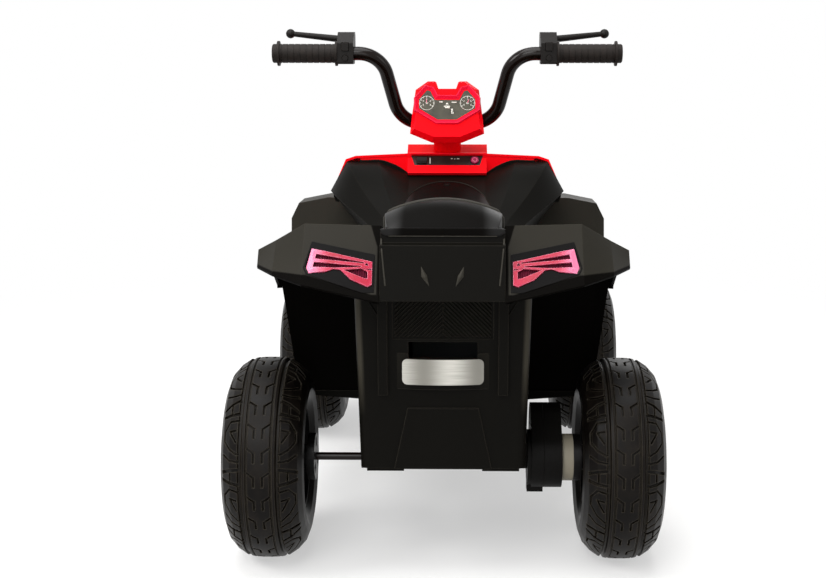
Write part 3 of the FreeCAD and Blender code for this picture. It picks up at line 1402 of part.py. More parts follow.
def hood_form(inset):
    outlines = []
    for place, half in HOOD_SECTION_SHARES:
        y = FRONT_AXLE_Y - HOOD_REAR + place * HOOD_LENGTH
        outlines.append(hood_outline(half, y, inset))
    return ruled(outlines)


DASH_TOP = (FRONT_AXLE_Y - DASH_TOP_SETBACK, TUB_TOP + HOOD_TOP_RISE)
DASH_LOW = (FRONT_AXLE_Y - DASH_LOW_SETBACK, TUB_TOP + HOOD_TOP_RISE - DASH_DROP)
DASH_RUN = Vector(0, DASH_TOP[0] - DASH_LOW[0], DASH_TOP[1] - DASH_LOW[1])
DASH_UP = Vector(DASH_RUN).normalize()
DASH_OUT = Vector(0, -DASH_UP.z, DASH_UP.y)
DASH_CENTRE = Vector(0, (DASH_TOP[0] + DASH_LOW[0]) / 2, (DASH_TOP[1] + DASH_LOW[1]) / 2)


def dash_block(grow):
    """Slanted frame behind the steering that carries the switch panel."""
    path = [DASH_LOW, DASH_TOP, (DASH_TOP[0] + DASH_DEPTH, DASH_TOP[1]),
            (DASH_TOP[0] + DASH_DEPTH, DASH_LOW[1] - WALL), (DASH_LOW[0] + WALL, DASH_LOW[1] - WALL)]
    if grow:
        path = offset_path(path, grow, True)
    half = DASH_HALF_WIDTH + grow
    return slab(yz(-half, path), ALONG_X * half * 2)


def on_dash(x, up, out):
    """Point on the dash face: along X, up the slope and out of the face."""
    return DASH_CENTRE + ALONG_X * x + DASH_UP * up + DASH_OUT * out


PANEL_RISE = (DASH_LIP - DASH_MARGIN) / 2


def dash_pocket(grow, depth, lift):
    """Space of the switch panel in the dash face, above the frame's lip."""
    half_run = (DASH_RUN.Length - DASH_LIP - DASH_MARGIN) / 2 + grow
    top = DASH_HALF_WIDTH - DASH_MARGIN + grow
    low = top - DASH_MARGIN
    corners = [on_dash(-low, PANEL_RISE - half_run, lift), on_dash(low, PANEL_RISE - half_run, lift),
               on_dash(top, PANEL_RISE + half_run, lift), on_dash(-top, PANEL_RISE + half_run, lift)]
    return slab(corners, DASH_OUT * -depth)


def rocker_centre():
    return on_dash(ROCKER_X, PANEL_RISE, -ROCKER_RADIUS / 2)


def rocker_space(grow):
    half_x = ROCKER_WIDTH / 2 + grow
    low_up = PANEL_RISE - ROCKER_LENGTH / 2 - grow
    high_up = PANEL_RISE + ROCKER_LENGTH / 2 + grow
    corners = [on_dash(ROCKER_X - half_x, low_up, OVERRUN), on_dash(ROCKER_X + half_x, low_up, OVERRUN),
               on_dash(ROCKER_X + half_x, high_up, OVERRUN), on_dash(ROCKER_X - half_x, high_up, OVERRUN)]
    return slab(corners, DASH_OUT * -(OVERRUN + ROCKER_RADIUS * 2))


def power_space(diameter, start, length):
    return cylinder(on_dash(POWER_X, PANEL_RISE, start), DASH_OUT, diameter, length)


def dash_panel():
    """Dark switch panel set in the dash frame."""
    panel = dash_pocket(-FIT_GAP, DASH_PANEL - FIT_GAP, 0)
    power = power_space(POWER_DIAMETER + MOVE_GAP * 2, -DASH_DEPTH, DASH_DEPTH * 2)
    return panel.cut([power, rocker_space(MOVE_GAP)])


def power_button():
    """Round push button with a flange behind the panel."""
    button = power_space(POWER_DIAMETER, -DASH_PANEL - BUTTON_ROOT, DASH_PANEL + BUTTON_ROOT + BUTTON_PROUD)
    rim = [edge for edge in button.Edges if edge.Curve.TypeId == "Part::GeomCircle"]
    return button.makeFillet(BUTTON_ROOT / 2, rim)


def direction_switch():
    """Rocker resting tilted to one of its two places."""
    half_x = ROCKER_WIDTH / 2
    half_up = ROCKER_LENGTH / 2 - MOVE_GAP * 2
    low = -ROCKER_RADIUS / 2
    crest = BUTTON_PROUD / 2
    profile = [(-half_up, low), (half_up, low), (half_up, BUTTON_PROUD), (0, crest),
               (-half_up, BUTTON_PROUD)]
    places = [on_dash(ROCKER_X - half_x, PANEL_RISE + up, out) for up, out in profile]
    body = slab(places, ALONG_X * ROCKER_WIDTH)
    body.rotate(rocker_centre(), ALONG_X, ROCKER_TILT)
    return body


def plinth():
    """Collar block on the hood, square to the steering axis."""
    top = column_point(-PLINTH_DISTANCE)
    corners = []
    for x, ahead in ((-1, -PLINTH_BACK), (1, -PLINTH_BACK), (1, PLINTH_FRONT), (-1, PLINTH_FRONT)):
        corners.append(top + ALONG_X * x * PLINTH_HALF_WIDTH + STEER_AHEAD * ahead)
    return slab(corners, STEER_AXIS * -PLINTH_DEPTH)


def headlamp_prism(grow):
    low_z = TUB_TOP + HOOD_TOP_RISE - HOOD_HEIGHT
    low = low_z + HEADLAMP_LOW_SHARE * HOOD_HEIGHT - grow
    high = low_z + HEADLAMP_HIGH_SHARE * HOOD_HEIGHT + grow
    slope = (high - low) / 3
    path = [(HEADLAMP_INNER_X - grow, low), (HEADLAMP_OUTER_X + grow, low + slope),
            (HEADLAMP_OUTER_X + grow, high),
            (HEADLAMP_INNER_X - grow, high - slope)]
    start = FRONT_AXLE_Y - HOOD_REAR + HOOD_LENGTH - HEADLAMP_DEPTH
    return slab(xz(start, path), ALONG_Y * HEADLAMP_DEPTH * 2)


def hood_wall():
    inner = hood_form(WALL)
    nose_y = FRONT_AXLE_Y - HOOD_REAR + HOOD_LENGTH
    opened = box(Vector(-TRACK, -LENGTH, 0), Vector(TRACK, nose_y - WALL, LENGTH))
    return hood_form(0).cut(inner.common(opened))


def hood():
    """Red hood shell with the collar block and the dash frame."""
    column = cylinder(column_point(-PLINTH_DISTANCE * 3), STEER_AXIS, BUSH_DIAMETER + FIT_GAP * 2,
                      PLINTH_DISTANCE * 3)
    neck = cylinder(column_point(-PLINTH_DISTANCE), STEER_AXIS, NECK_DIAMETER + MOVE_GAP * 2, NECK_LENGTH)
    body = fused([hood_wall(), plinth(), dash_block(0)])
    lamp = headlamp_prism(FIT_GAP)
    back = power_space(POWER_DIAMETER + MOVE_GAP * 2, -DASH_DEPTH, DASH_DEPTH * 2)
    panel = dash_pocket(0, DASH_PANEL + OVERRUN, OVERRUN)
    cuts = [column, neck, panel, back, rocker_space(MOVE_GAP * 2), lamp, mirrored(lamp)]
    return body.cut(cuts + [screw_hole(place) for place in screw_places()[:2]])


def headlamps():
    lens = hood_wall().common(headlamp_prism(0))
    return Part.makeCompound([lens, mirrored(lens)])


# Front fenders
def hood_edge_z(y):
    """Height of the hood's lower edge at a place along it."""
    low_z = TUB_TOP + HOOD_TOP_RISE - HOOD_HEIGHT
    share = (y - FRONT_AXLE_Y + HOOD_REAR) / HOOD_LENGTH
    stations = [(place, half[-1][1]) for place, half in HOOD_SECTION_SHARES]
    for (start, low), (end, high) in zip(stations, stations[1:]):
        if share <= end:
            break
    return low_z + (low + (high - low) * (share - start) / (end - start)) * HOOD_HEIGHT


def fender_path(drop, front_drop):
    """Side-view path of a fender station, from the nose over the wheel to the guard's foot."""
    hood_y = FRONT_AXLE_Y - HOOD_REAR
    places = [hood_y + place * HOOD_LENGTH for place, half in HOOD_SECTION_SHARES[1:3]]
    rear_y = FRONT_AXLE_Y - FENDER_REAR
    front_y = FRONT_AXLE_Y + FENDER_FRONT
    path = [(front_y, hood_edge_z(front_y) - front_drop)]
    path.append((places[1], hood_edge_z(places[1]) - FIT_GAP - drop))
    path.append((places[0], hood_edge_z(places[0]) - FIT_GAP - drop))
    path.append((rear_y, hood_edge_z(rear_y) - FIT_GAP - drop))
    path.append((FRONT_AXLE_Y - FENDER_GUARD, FOOTBOARD_TOP - OVERRUN))
    return path[::-1]


def front_fender(envelope):
    """Right front fender: top, rounded edge, side lip and the guard behind the wheel."""
    stations = (
        (FENDER_INNER_X, 0, 0),
        (FENDER_TOP_X, 0, FENDER_EDGE_DROP),
        (FENDER_EDGE_X, FENDER_EDGE_DROP / 2, FENDER_EDGE_DROP),
        (FENDER_OUTER_X, FENDER_SIDE_DROP, FENDER_SIDE_DROP),
    )
    sections = []
    for x, drop, front_drop in stations:
        sections.append(yz(x, strip(fender_path(drop, front_drop + WALL), WALL)))
    shell = ruled(sections)
    edge = fender_path(FENDER_SIDE_DROP, FENDER_SIDE_DROP + WALL)[1:]
    lowered = [(y, z - FENDER_LIP) for y, z in edge[::-1]]
    lip = slab(yz(FENDER_OUTER_X - WALL, edge + lowered), ALONG_X * WALL)
    low = FOOTBOARD_TOP - OVERRUN * 2
    trim = [(FENDER_GUARD_OUTER_SHARE * FOOTBOARD_HALF_WIDTH, low), (TRACK, low),
            (TRACK, TUB_TOP - FENDER_SIDE_DROP * 2),
            (FENDER_OUTER_X, TUB_TOP - FENDER_SIDE_DROP * 2)]
    trimmed = slab(xz(FRONT_AXLE_Y - FENDER_GUARD - OVERRUN, trim), ALONG_Y * FENDER_REAR / 2)
    return fused([shell, lip]).cut([trimmed] + envelope)


# Front bumper
def front_bumper():
    """Bumper with grille slots on the nose of the tub."""
    back_y = FRONT_AXLE_Y + TUB_FRONT + FIT_GAP
    front_y = FRONT_AXLE_Y + FRONT_OVERHANG
    low = FLOOR_Z + BUMPER_LOW_RISE
    plan = [(-BUMPER_HALF_WIDTH, back_y + BUMPER_BACK), (-BUMPER_NOSE_HALF_WIDTH, front_y),
            (BUMPER_NOSE_HALF_WIDTH, front_y),
            (BUMPER_HALF_WIDTH, back_y + BUMPER_BACK), (BUMPER_HALF_WIDTH, back_y),
            (-BUMPER_HALF_WIDTH, back_y)]
    body = slab([Vector(x, y, low) for x, y in plan], ALONG_Z * BUMPER_HEIGHT)
    inner = [(-BUMPER_HALF_WIDTH + BUMPER_WALL, back_y + BUMPER_BACK - BUMPER_WALL),
             (-BUMPER_NOSE_HALF_WIDTH, front_y - BUMPER_WALL),
             (BUMPER_NOSE_HALF_WIDTH, front_y - BUMPER_WALL),
             (BUMPER_HALF_WIDTH - BUMPER_WALL, back_y + BUMPER_BACK - BUMPER_WALL)]
    hollow = slab([Vector(x, y, low + BUMPER_WALL) for x, y in inner],
                  ALONG_Z * (BUMPER_HEIGHT - BUMPER_WALL * 2))
    cuts = [hollow]
    for index in range(GRILLE_COUNT):
        z = low + BUMPER_HEIGHT / 2 + (index - (GRILLE_COUNT - 1) / 2) * GRILLE_PITCH
        cuts.append(box(Vector(-GRILLE_HALF_WIDTH, front_y - BUMPER_WALL * 2, z - GRILLE_SLOT / 2),
                        Vector(GRILLE_HALF_WIDTH, front_y + OVERRUN, z + GRILLE_SLOT / 2)))
    slope = [(back_y - OVERRUN, low + BUMPER_HEIGHT), (front_y + OVERRUN, low + BUMPER_HEIGHT * 2 / 3),
             (front_y + OVERRUN, low + BUMPER_HEIGHT + OVERRUN),
             (back_y - OVERRUN, low + BUMPER_HEIGHT + OVERRUN)]
    cuts.append(slab(yz(-TRACK / 2, slope), ALONG_X * TRACK))
    return body.cut(cuts)


# Steering
def handlebar_path():
    """Centre line of the handlebar in the raked plane."""
    corners = []
    for x, lift in ((-BAR_HALF_SPAN, BAR_LIFT), (-BAR_UPPER_HALF, BAR_LIFT), (-BAR_LOWER_HALF, 0),
                    (BAR_LOWER_HALF, 0),
                    (BAR_UPPER_HALF, BAR_LIFT), (BAR_HALF_SPAN, BAR_LIFT)):
        corners.append(BAR_CENTRE + ALONG_X * x + STEER_AXIS * (lift / math.cos(STEER_TURN)))
    edges = []
    start = corners[0]
    for before, corner, after in zip(corners, corners[1:], corners[2:]):
        back = (before - corner).normalize()
        ahead = (after - corner).normalize()
        half_angle = back.getAngle(ahead) / 2
        reach = BAR_BEND_RADIUS / math.tan(half_angle)
        middle = (back + ahead).normalize() * (BAR_BEND_RADIUS / math.sin(half_angle) - BAR_BEND_RADIUS)
        edges.append(Part.LineSegment(start, corner + back * reach).toShape())
        edges.append(Part.Arc(corner + back * reach, corner + middle, corner + ahead * reach).toShape())
        start = corner + ahead * reach
    edges.append(Part.LineSegment(start, corners[-1]).toShape())
    return Part.Wire(edges), corners[0]


def handlebar_rod(diameter):
    path, start = handlebar_path()
    section = Part.Wire(Part.makeCircle(diameter / 2, start, ALONG_X))
    return path.makePipeShell([section], True, False)


def handlebar():
    return handlebar_rod(BAR_DIAMETER).cut(handlebar_rod(BAR_DIAMETER - BAR_WALL * 2))


GRIP_CENTRE = BAR_CENTRE + STEER_AXIS * (BAR_LIFT / math.cos(STEER_TURN))
GRIP_END_X = BAR_HALF_SPAN + GRIP_END
GRIP_INNER_X = GRIP_END_X - GRIP_LENGTH
HOUSING_X = GRIP_INNER_X - FIT_GAP - HOUSING_WIDTH


def grip():
    """Right grip: ribbed sleeve with two flanges and a closed end."""
    bore = BAR_DIAMETER / 2 + FIT_GAP
    flange = GRIP_FLANGE_DIAMETER / 2
    sleeve = GRIP_DIAMETER / 2
    outer_flange = GRIP_END_X - GRIP_END - GRIP_FLANGE
    profile = [(GRIP_INNER_X, bore), (GRIP_INNER_X, flange), (GRIP_INNER_X + GRIP_FLANGE, flange),
               (GRIP_INNER_X + GRIP_FLANGE, sleeve)]
    pitch = (outer_flange - GRIP_INNER_X - GRIP_FLANGE) / (GRIP_RING_COUNT * 2)
    for index in range(GRIP_RING_COUNT):
        start = GRIP_INNER_X + GRIP_FLANGE + pitch * (index * 2 + 1)
        profile += [(start, sleeve), (start, sleeve - GRIP_GROOVE / 2),
                    (start + GRIP_GROOVE, sleeve - GRIP_GROOVE / 2),
                    (start + GRIP_GROOVE, sleeve)]
    profile += [(outer_flange, sleeve), (outer_flange, flange), (outer_flange + GRIP_FLANGE, flange),
                (outer_flange + GRIP_FLANGE, sleeve), (GRIP_END_X - GRIP_GROOVE, sleeve),
                (GRIP_END_X, sleeve - GRIP_GROOVE), (GRIP_END_X, 0), (BAR_HALF_SPAN + FIT_GAP, 0),
                (BAR_HALF_SPAN + FIT_GAP, bore)]
    places = [Vector(x, GRIP_CENTRE.y, GRIP_CENTRE.z + r) for x, r in profile]
    return Part.Face(ring(places)).revolve(GRIP_CENTRE, ALONG_X, 360)


def grips():
    right = grip()
    return Part.makeCompound([right, mirrored(right)])


LEVER_PIVOT = GRIP_CENTRE + Vector(HOUSING_X + HOUSING_WIDTH / 2, LEVER_FORWARD, LEVER_RISE)
LEVER_DROP = Vector(0, LEVER_FORWARD, LEVER_RISE).normalize()
LEVER_AXIS = Vector(0, -LEVER_DROP.z, LEVER_DROP.y)


def lever_knuckle(diameter, height):
    return cylinder(LEVER_PIVOT - LEVER_AXIS * (height / 2), LEVER_AXIS, diameter, height)


def brake_lever():
    """Right lever: pivot knuckle, tapered arm and ball end."""
    tip = LEVER_PIVOT + ALONG_X * LEVER_LENGTH + LEVER_DROP * LEVER_FLARE
    run = tip - LEVER_PIVOT
    arm = Part.makeCone(LEVER_ROOT_DIAMETER / 2, LEVER_TIP_DIAMETER / 2, run.Length, LEVER_PIVOT, run)
    ball = Part.makeSphere(LEVER_BALL_DIAMETER / 2, tip)
    arm = arm.common(lever_slice(LEVER_KNUCKLE_HEIGHT))
    body = fused([arm, ball, lever_knuckle(LEVER_KNUCKLE_DIAMETER, LEVER_KNUCKLE_HEIGHT)])
    return body.cut(lever_knuckle(LEVER_PIN_DIAMETER + RUN_GAP * 2, LEVER_KNUCKLE_HEIGHT * 2))


def lever_slice(height):
    """Slice of space as thick as the lever's flat arm."""
    corners = []
    for x, drop in ((-1, -1), (1, -1), (1, 1), (-1, 1)):
        reach = ALONG_X * x * LEVER_LENGTH * 2 + LEVER_DROP * drop * LEVER_LENGTH
        corners.append(LEVER_PIVOT + reach - LEVER_AXIS * (height / 2))
    return slab(corners, LEVER_AXIS * height)


def housing_path():
    """Side outline of a control housing about the handlebar."""
    back = -HOUSING_RADIUS
    return [(back, -HOUSING_RADIUS), (HOUSING_RADIUS, -HOUSING_RADIUS), (HOUSING_REACH, HOUSING_RISE / 3),
            (HOUSING_REACH, HOUSING_RISE - HOUSING_RADIUS / 3),
            (HOUSING_REACH - HOUSING_RADIUS / 3, HOUSING_RISE),
            (LEVER_FORWARD - HOUSING_RADIUS, HOUSING_RISE), (back, HOUSING_RISE - HOUSING_RADIUS)]


def control_housing():
    """Right control housing with its lever slot, lever pin and button pockets."""
    path = [(GRIP_CENTRE.y + y, GRIP_CENTRE.z + z) for y, z in housing_path()]
    outline = rounded_ring(yz(HOUSING_X, path), HOUSING_RADIUS / 6)
    body = Part.Face(outline).extrude(ALONG_X * HOUSING_WIDTH)
    tube = cylinder(GRIP_CENTRE + ALONG_X * (HOUSING_X - OVERRUN), ALONG_X, BAR_DIAMETER + FIT_GAP * 2,
                    HOUSING_WIDTH + OVERRUN * 2)
    space = LEVER_KNUCKLE_HEIGHT + MOVE_GAP * 2
    pocket = lever_knuckle(LEVER_KNUCKLE_DIAMETER + MOVE_GAP * 2, space)
    half = LEVER_KNUCKLE_DIAMETER / 2 + MOVE_GAP
    corners = []
    for x, drop in ((0, -half), (HOUSING_WIDTH, -half), (HOUSING_WIDTH, half), (0, half)):
        corners.append(LEVER_PIVOT + ALONG_X * x + LEVER_DROP * drop - LEVER_AXIS * (space / 2))
    mouth = slab(corners, LEVER_AXIS * space)
    cuts = [tube, pocket, mouth, square_button_space(MOVE_GAP), round_button_space(MOVE_GAP)]
    pin = lever_knuckle(LEVER_PIN_DIAMETER, space + WALL)
    return fused([body.cut(cuts), pin])


BUTTON_X = HOUSING_X + HOUSING_WIDTH / 2
BUTTON_FACE_Y = GRIP_CENTRE.y - HOUSING_RADIUS


def square_button_space(grow):
    """Square upper button, or its pocket when grown."""
    half_x = BUTTON_WIDTH / 2 + grow
    half_z = BUTTON_HEIGHT / 2 + grow
    middle_z = GRIP_CENTRE.z + BUTTON_RISE
    depth = BUTTON_ROOT + (BUTTON_TRAVEL + grow if grow else 0)
    low = Vector(BUTTON_X - half_x, BUTTON_FACE_Y - BUTTON_PROUD, middle_z - half_z)
    return box(low, Vector(BUTTON_X + half_x, BUTTON_FACE_Y + depth, middle_z + half_z))


def round_button_space(grow):
    """Round lower button, or its pocket when grown."""
    depth = BUTTON_ROOT + (BUTTON_TRAVEL + grow if grow else 0)
    start = Vector(BUTTON_X, BUTTON_FACE_Y - BUTTON_PROUD, GRIP_CENTRE.z - BUTTON_DROP)
    return cylinder(start, ALONG_Y, ROUND_BUTTON_DIAMETER + grow * 2, BUTTON_PROUD + depth)


def control_housings():
    right = control_housing()
    return Part.makeCompound([right, mirrored(right)])


def binnacle_point(shares, out, scale):
    """Point of the binnacle's outline plane, out towards the rider."""
    x = shares[0] * BINNACLE_HALF_WIDTH * scale
    z = shares[1] * BINNACLE_HEIGHT * scale
    return BINNACLE_CENTRE + ALONG_X * x + BINNACLE_UP * z + BINNACLE_OUT * out


BINNACLE_TURN = math.radians(BINNACLE_TILT)
BINNACLE_OUT = Vector(0, -math.cos(BINNACLE_TURN), math.sin(BINNACLE_TURN))
BINNACLE_UP = Vector(0, math.sin(BINNACLE_TURN), math.cos(BINNACLE_TURN))
BINNACLE_CENTRE = BAR_CENTRE + Vector(0, -BINNACLE_SETBACK, BINNACLE_RISE)


def binnacle_ring(half_shares, out, scale):
    return [binnacle_point(shares, out, scale) for shares in mirror_outline(half_shares)]


def dial_prism(grow, depth):
    """Instrument panel's space in the binnacle's face."""
    half = [(x * BINNACLE_HALF_WIDTH, z * BINNACLE_HEIGHT) for x, z in DIAL_OUTLINE_SHARES]
    outline = mirror_outline(half)
    if grow:
        outline = offset_path(outline, -grow, True)
    places = [BINNACLE_CENTRE + ALONG_X * x + BINNACLE_UP * z for x, z in outline]
    return slab(places, BINNACLE_OUT * -depth)


def binnacle():
    """Red instrument housing with the neck that clamps bar and column."""
    rings = [
        binnacle_ring(BINNACLE_OUTLINE_SHARES, 0, BINNACLE_RIM_SHARE),
        binnacle_ring(BINNACLE_OUTLINE_SHARES, -BINNACLE_RIM, 1),
        binnacle_ring(BINNACLE_OUTLINE_SHARES, -BINNACLE_DEPTH, BINNACLE_BACK_SHARE),
    ]
    head = ruled(rings)
    neck_start = column_point(MOVE_GAP - PLINTH_DISTANCE)
    neck = cylinder(neck_start, STEER_AXIS, NECK_DIAMETER, NECK_LENGTH)
    body = fused([head, neck])
    rod = cylinder(column_point(-PLINTH_DISTANCE * 2), STEER_AXIS, COLUMN_DIAMETER + FIT_GAP * 2,
                   PLINTH_DISTANCE * 2 - COLUMN_TOP_GAP + FIT_GAP)
    return body.cut([handlebar_rod(BAR_DIAMETER + FIT_GAP * 2), rod, dial_prism(FIT_GAP, DIAL_DEPTH)])


def instrument_panel():
    return dial_prism(0, DIAL_DEPTH - FIT_GAP)


def steering_column():
    """Raked rod with the crank and pin that move the tie rod."""
    top = column_point(-COLUMN_TOP_GAP)
    crank = column_point(CRANK_DISTANCE)
    rod = cylinder(crank, STEER_AXIS, COLUMN_DIAMETER, (top - crank).Length)
    end = crank - STEER_AHEAD * ARM_LENGTH
    half = COLUMN_DIAMETER / 2
    corners = [crank + ALONG_X * half, end + ALONG_X * half, end - ALONG_X * half, crank - ALONG_X * half]
    arm = slab(corners, STEER_AXIS * -CRANK_THICKNESS)
    pieces = [rod, arm, cylinder(crank, STEER_AXIS * -1, COLUMN_DIAMETER, CRANK_THICKNESS),
              cylinder(end, STEER_AXIS * -1, COLUMN_DIAMETER, CRANK_THICKNESS)]
    pin_length = (end.z - TIE_ROD_Z + LINK_PIN_HEAD) / math.cos(STEER_TURN)
    pieces.append(cylinder(end, STEER_AXIS * -1, LINK_PIN_DIAMETER, pin_length))
    return fused(pieces)


CRANK_END = BAR_CENTRE + STEER_AXIS * CRANK_DISTANCE - STEER_AHEAD * ARM_LENGTH
TIE_ROD_Z = CRANK_END.z - CRANK_THICKNESS - TIE_ROD_THICKNESS - ARM_THICKNESS
TIE_ROD_TOP = TIE_ROD_Z + TIE_ROD_THICKNESS
ARM_Y = FRONT_AXLE_Y - ARM_LENGTH


def column_bushes():
    """Plastic bushes of the column in the floor and in the hood's collar."""
    bore = COLUMN_DIAMETER + RUN_GAP * 2
    pieces = []
    lower_start = FLOOR_DISTANCE + BUSH_WALL
    upper_start = -PLINTH_DISTANCE - BUSH_HEIGHT
    for start in (lower_start, upper_start):
        sleeve = cylinder(column_point(start), STEER_AXIS, BUSH_DIAMETER, BUSH_HEIGHT)
        hole = cylinder(column_point(start - OVERRUN), STEER_AXIS, bore, BUSH_HEIGHT + OVERRUN * 2)
        pieces.append(sleeve.cut(hole))
    return Part.makeCompound(pieces)


def knuckle():
    """Right knuckle: kingpin, stub axle and steering arm, welded."""
    foot_z = TIE_ROD_TOP + FIT_GAP * 2
    pin = cylinder(Vector(KINGPIN_X, FRONT_AXLE_Y, foot_z), ALONG_Z, KINGPIN_DIAMETER,
                   KINGPIN_TOP + MOVE_GAP - foot_z)
    washer = cylinder(Vector(KINGPIN_X, FRONT_AXLE_Y, KINGPIN_TOP + MOVE_GAP), ALONG_Z,
                      KINGPIN_WASHER_DIAMETER,
                      KINGPIN_WASHER_HEIGHT)
    collar = cylinder(Vector(KINGPIN_X, FRONT_AXLE_Y, foot_z), ALONG_Z, KINGPIN_WASHER_DIAMETER,
                      KINGPIN_BOTTOM - MOVE_GAP - foot_z)
    stub = axle_rod(KINGPIN_X, AXLE_END_X, FRONT_AXLE_Y)
    half = ARM_WIDTH / 2
    arm = box(Vector(KINGPIN_X - half, ARM_Y, foot_z), Vector(KINGPIN_X + half, FRONT_AXLE_Y,
                                                              foot_z + ARM_THICKNESS))
    end = cylinder(Vector(KINGPIN_X, ARM_Y, foot_z), ALONG_Z, ARM_WIDTH, ARM_THICKNESS)
    link = cylinder(Vector(KINGPIN_X, ARM_Y, TIE_ROD_Z - LINK_PIN_HEAD), ALONG_Z, LINK_PIN_DIAMETER,
                    foot_z - TIE_ROD_Z + LINK_PIN_HEAD)
    return fused([pin, washer, collar, stub, arm, end, link])


def tie_rod():
    """Flat bar between the knuckles with a tongue slotted for the crank pin."""
    half = TIE_ROD_WIDTH / 2
    low = Vector(-KINGPIN_X, ARM_Y - half, TIE_ROD_Z)
    bar = box(low, Vector(KINGPIN_X, ARM_Y + half, TIE_ROD_TOP))
    pieces = [bar]
    for side in (-1, 1):
        pieces.append(cylinder(Vector(side * KINGPIN_X, ARM_Y, TIE_ROD_Z), ALONG_Z, TIE_ROD_WIDTH,
                               TIE_ROD_THICKNESS))
    middle = pin_middle()
    pieces.append(box(Vector(-half, middle.y - TIE_ROD_WIDTH, TIE_ROD_Z), Vector(half, ARM_Y, TIE_ROD_TOP)))
    body = fused(pieces)
    cuts = []
    for side, gap in ((-1, RUN_GAP), (1, MOVE_GAP)):
        start = Vector(side * KINGPIN_X, ARM_Y, TIE_ROD_Z - OVERRUN)
        cuts.append(cylinder(start, ALONG_Z, LINK_PIN_DIAMETER + gap * 2, TIE_ROD_THICKNESS + OVERRUN * 2))
    slot_half = LINK_PIN_DIAMETER / 2 + MOVE_GAP
    lean = TIE_ROD_THICKNESS / 2 * math.tan(STEER_TURN) + SLOT_SLACK
    for shift in (-lean, lean):
        start = Vector(0, middle.y + shift, TIE_ROD_Z - OVERRUN)
        cuts.append(cylinder(start, ALONG_Z, slot_half * 2, TIE_ROD_THICKNESS + OVERRUN * 2))
    cuts.append(box(Vector(-slot_half, middle.y - lean, TIE_ROD_Z - OVERRUN),
                    Vector(slot_half, middle.y + lean, TIE_ROD_TOP + OVERRUN)))
    return body.cut(cuts)


def pin_middle():
    """Crank pin's centre at the middle of the tie rod's thickness."""
    fall = (CRANK_END.z - TIE_ROD_Z - TIE_ROD_THICKNESS / 2) / math.cos(STEER_TURN)
    return CRANK_END - STEER_AXIS * fall


# Pieces inside and the pedal
def battery():
    y = REAR_AXLE_Y + BATTERY_FORWARD
    low = FLOOR_Z + WALL + FIT_GAP
    case = box(Vector(-BATTERY_LENGTH / 2, y - BATTERY_WIDTH / 2, low),
               Vector(BATTERY_LENGTH / 2, y + BATTERY_WIDTH / 2, low + BATTERY_HEIGHT - TERMINAL_LENGTH))
    pieces = [case]
    for side in (-1, 1):
        x = side * BATTERY_LENGTH / 4
        pieces.append(box(Vector(x - TERMINAL_WIDTH / 2, y + BATTERY_WIDTH / 4, low),
                          Vector(x + TERMINAL_WIDTH / 2, y + BATTERY_WIDTH / 4 + TERMINAL_THICKNESS,
                                 low + BATTERY_HEIGHT)))
    return fused(pieces)


def control_board():
    """Board with its relay and plug blocks on four posts."""
    y = FRONT_AXLE_Y - BOARD_SETBACK
    low = FLOOR_Z + WALL + BOARD_POST + FIT_GAP
    top = low + BOARD_THICKNESS
    board = box(Vector(-BOARD_WIDTH / 2, y - BOARD_LENGTH / 2, low),
                Vector(BOARD_WIDTH / 2, y + BOARD_LENGTH / 2, top))
    pieces = [board]
    for along_share in CHIP_PLACE_SHARES:
        place = y + along_share * BOARD_LENGTH
        pieces.append(box(Vector(-BOARD_WIDTH / 3, place - CHIP_HEIGHT / 2, low),
                          Vector(BOARD_WIDTH / 5, place + CHIP_HEIGHT / 2, top + CHIP_HEIGHT)))
    return fused(pieces)


def speaker():
    """Loudspeaker on the floor of the nose: magnet, basket, frame and cone."""
    start = Vector(0, FRONT_AXLE_Y + SPEAKER_FORWARD, FLOOR_Z + WALL + FIT_GAP)
    frame_start = start + ALONG_Z * (SPEAKER_HEIGHT - SPEAKER_FRAME)
    cone_start = start + ALONG_Z * (SPEAKER_HEIGHT - CONE_DEPTH)
    basket_start = start + ALONG_Z * (SPEAKER_HEIGHT / 2)
    basket_height = SPEAKER_HEIGHT / 2 - SPEAKER_FRAME
    magnet = cylinder(start, ALONG_Z, MAGNET_DIAMETER, SPEAKER_HEIGHT / 2)
    basket = Part.makeCone(MAGNET_DIAMETER / 2, SPEAKER_DIAMETER / 2, basket_height, basket_start)
    frame = cylinder(frame_start, ALONG_Z, SPEAKER_DIAMETER, SPEAKER_FRAME)
    cone = Part.makeCone(CONE_FLOOR_DIAMETER / 2, CONE_DIAMETER / 2, CONE_DEPTH, cone_start)
    return fused([magnet, basket, frame]).cut(cone)


SOCKET_Y = FRONT_AXLE_Y - SOCKET_SETBACK
SOCKET_Z = FLOOR_Z + SOCKET_RISE


def socket_face_x():
    return tub_half_width(TUB_HALF_WIDTH, SOCKET_Z + SOCKET_FLANGE_DIAMETER / 2) + FIT_GAP


def socket_hole():
    start = Vector(-socket_face_x() - OVERRUN, SOCKET_Y, SOCKET_Z)
    return cylinder(start, ALONG_X, SOCKET_DIAMETER + FIT_GAP * 2, SOCKET_LENGTH + OVERRUN)


def charge_socket():
    """Round charging socket in the tub's left wall."""
    face = Vector(-socket_face_x() - SOCKET_FLANGE, SOCKET_Y, SOCKET_Z)
    flange = cylinder(face, ALONG_X, SOCKET_FLANGE_DIAMETER, SOCKET_FLANGE)
    barrel = cylinder(face, ALONG_X, SOCKET_DIAMETER, SOCKET_LENGTH)
    mouth = cylinder(face - ALONG_X * OVERRUN, ALONG_X, SOCKET_DIAMETER / 2, SOCKET_LENGTH / 2 + OVERRUN)
    return fused([flange, barrel]).cut(mouth)


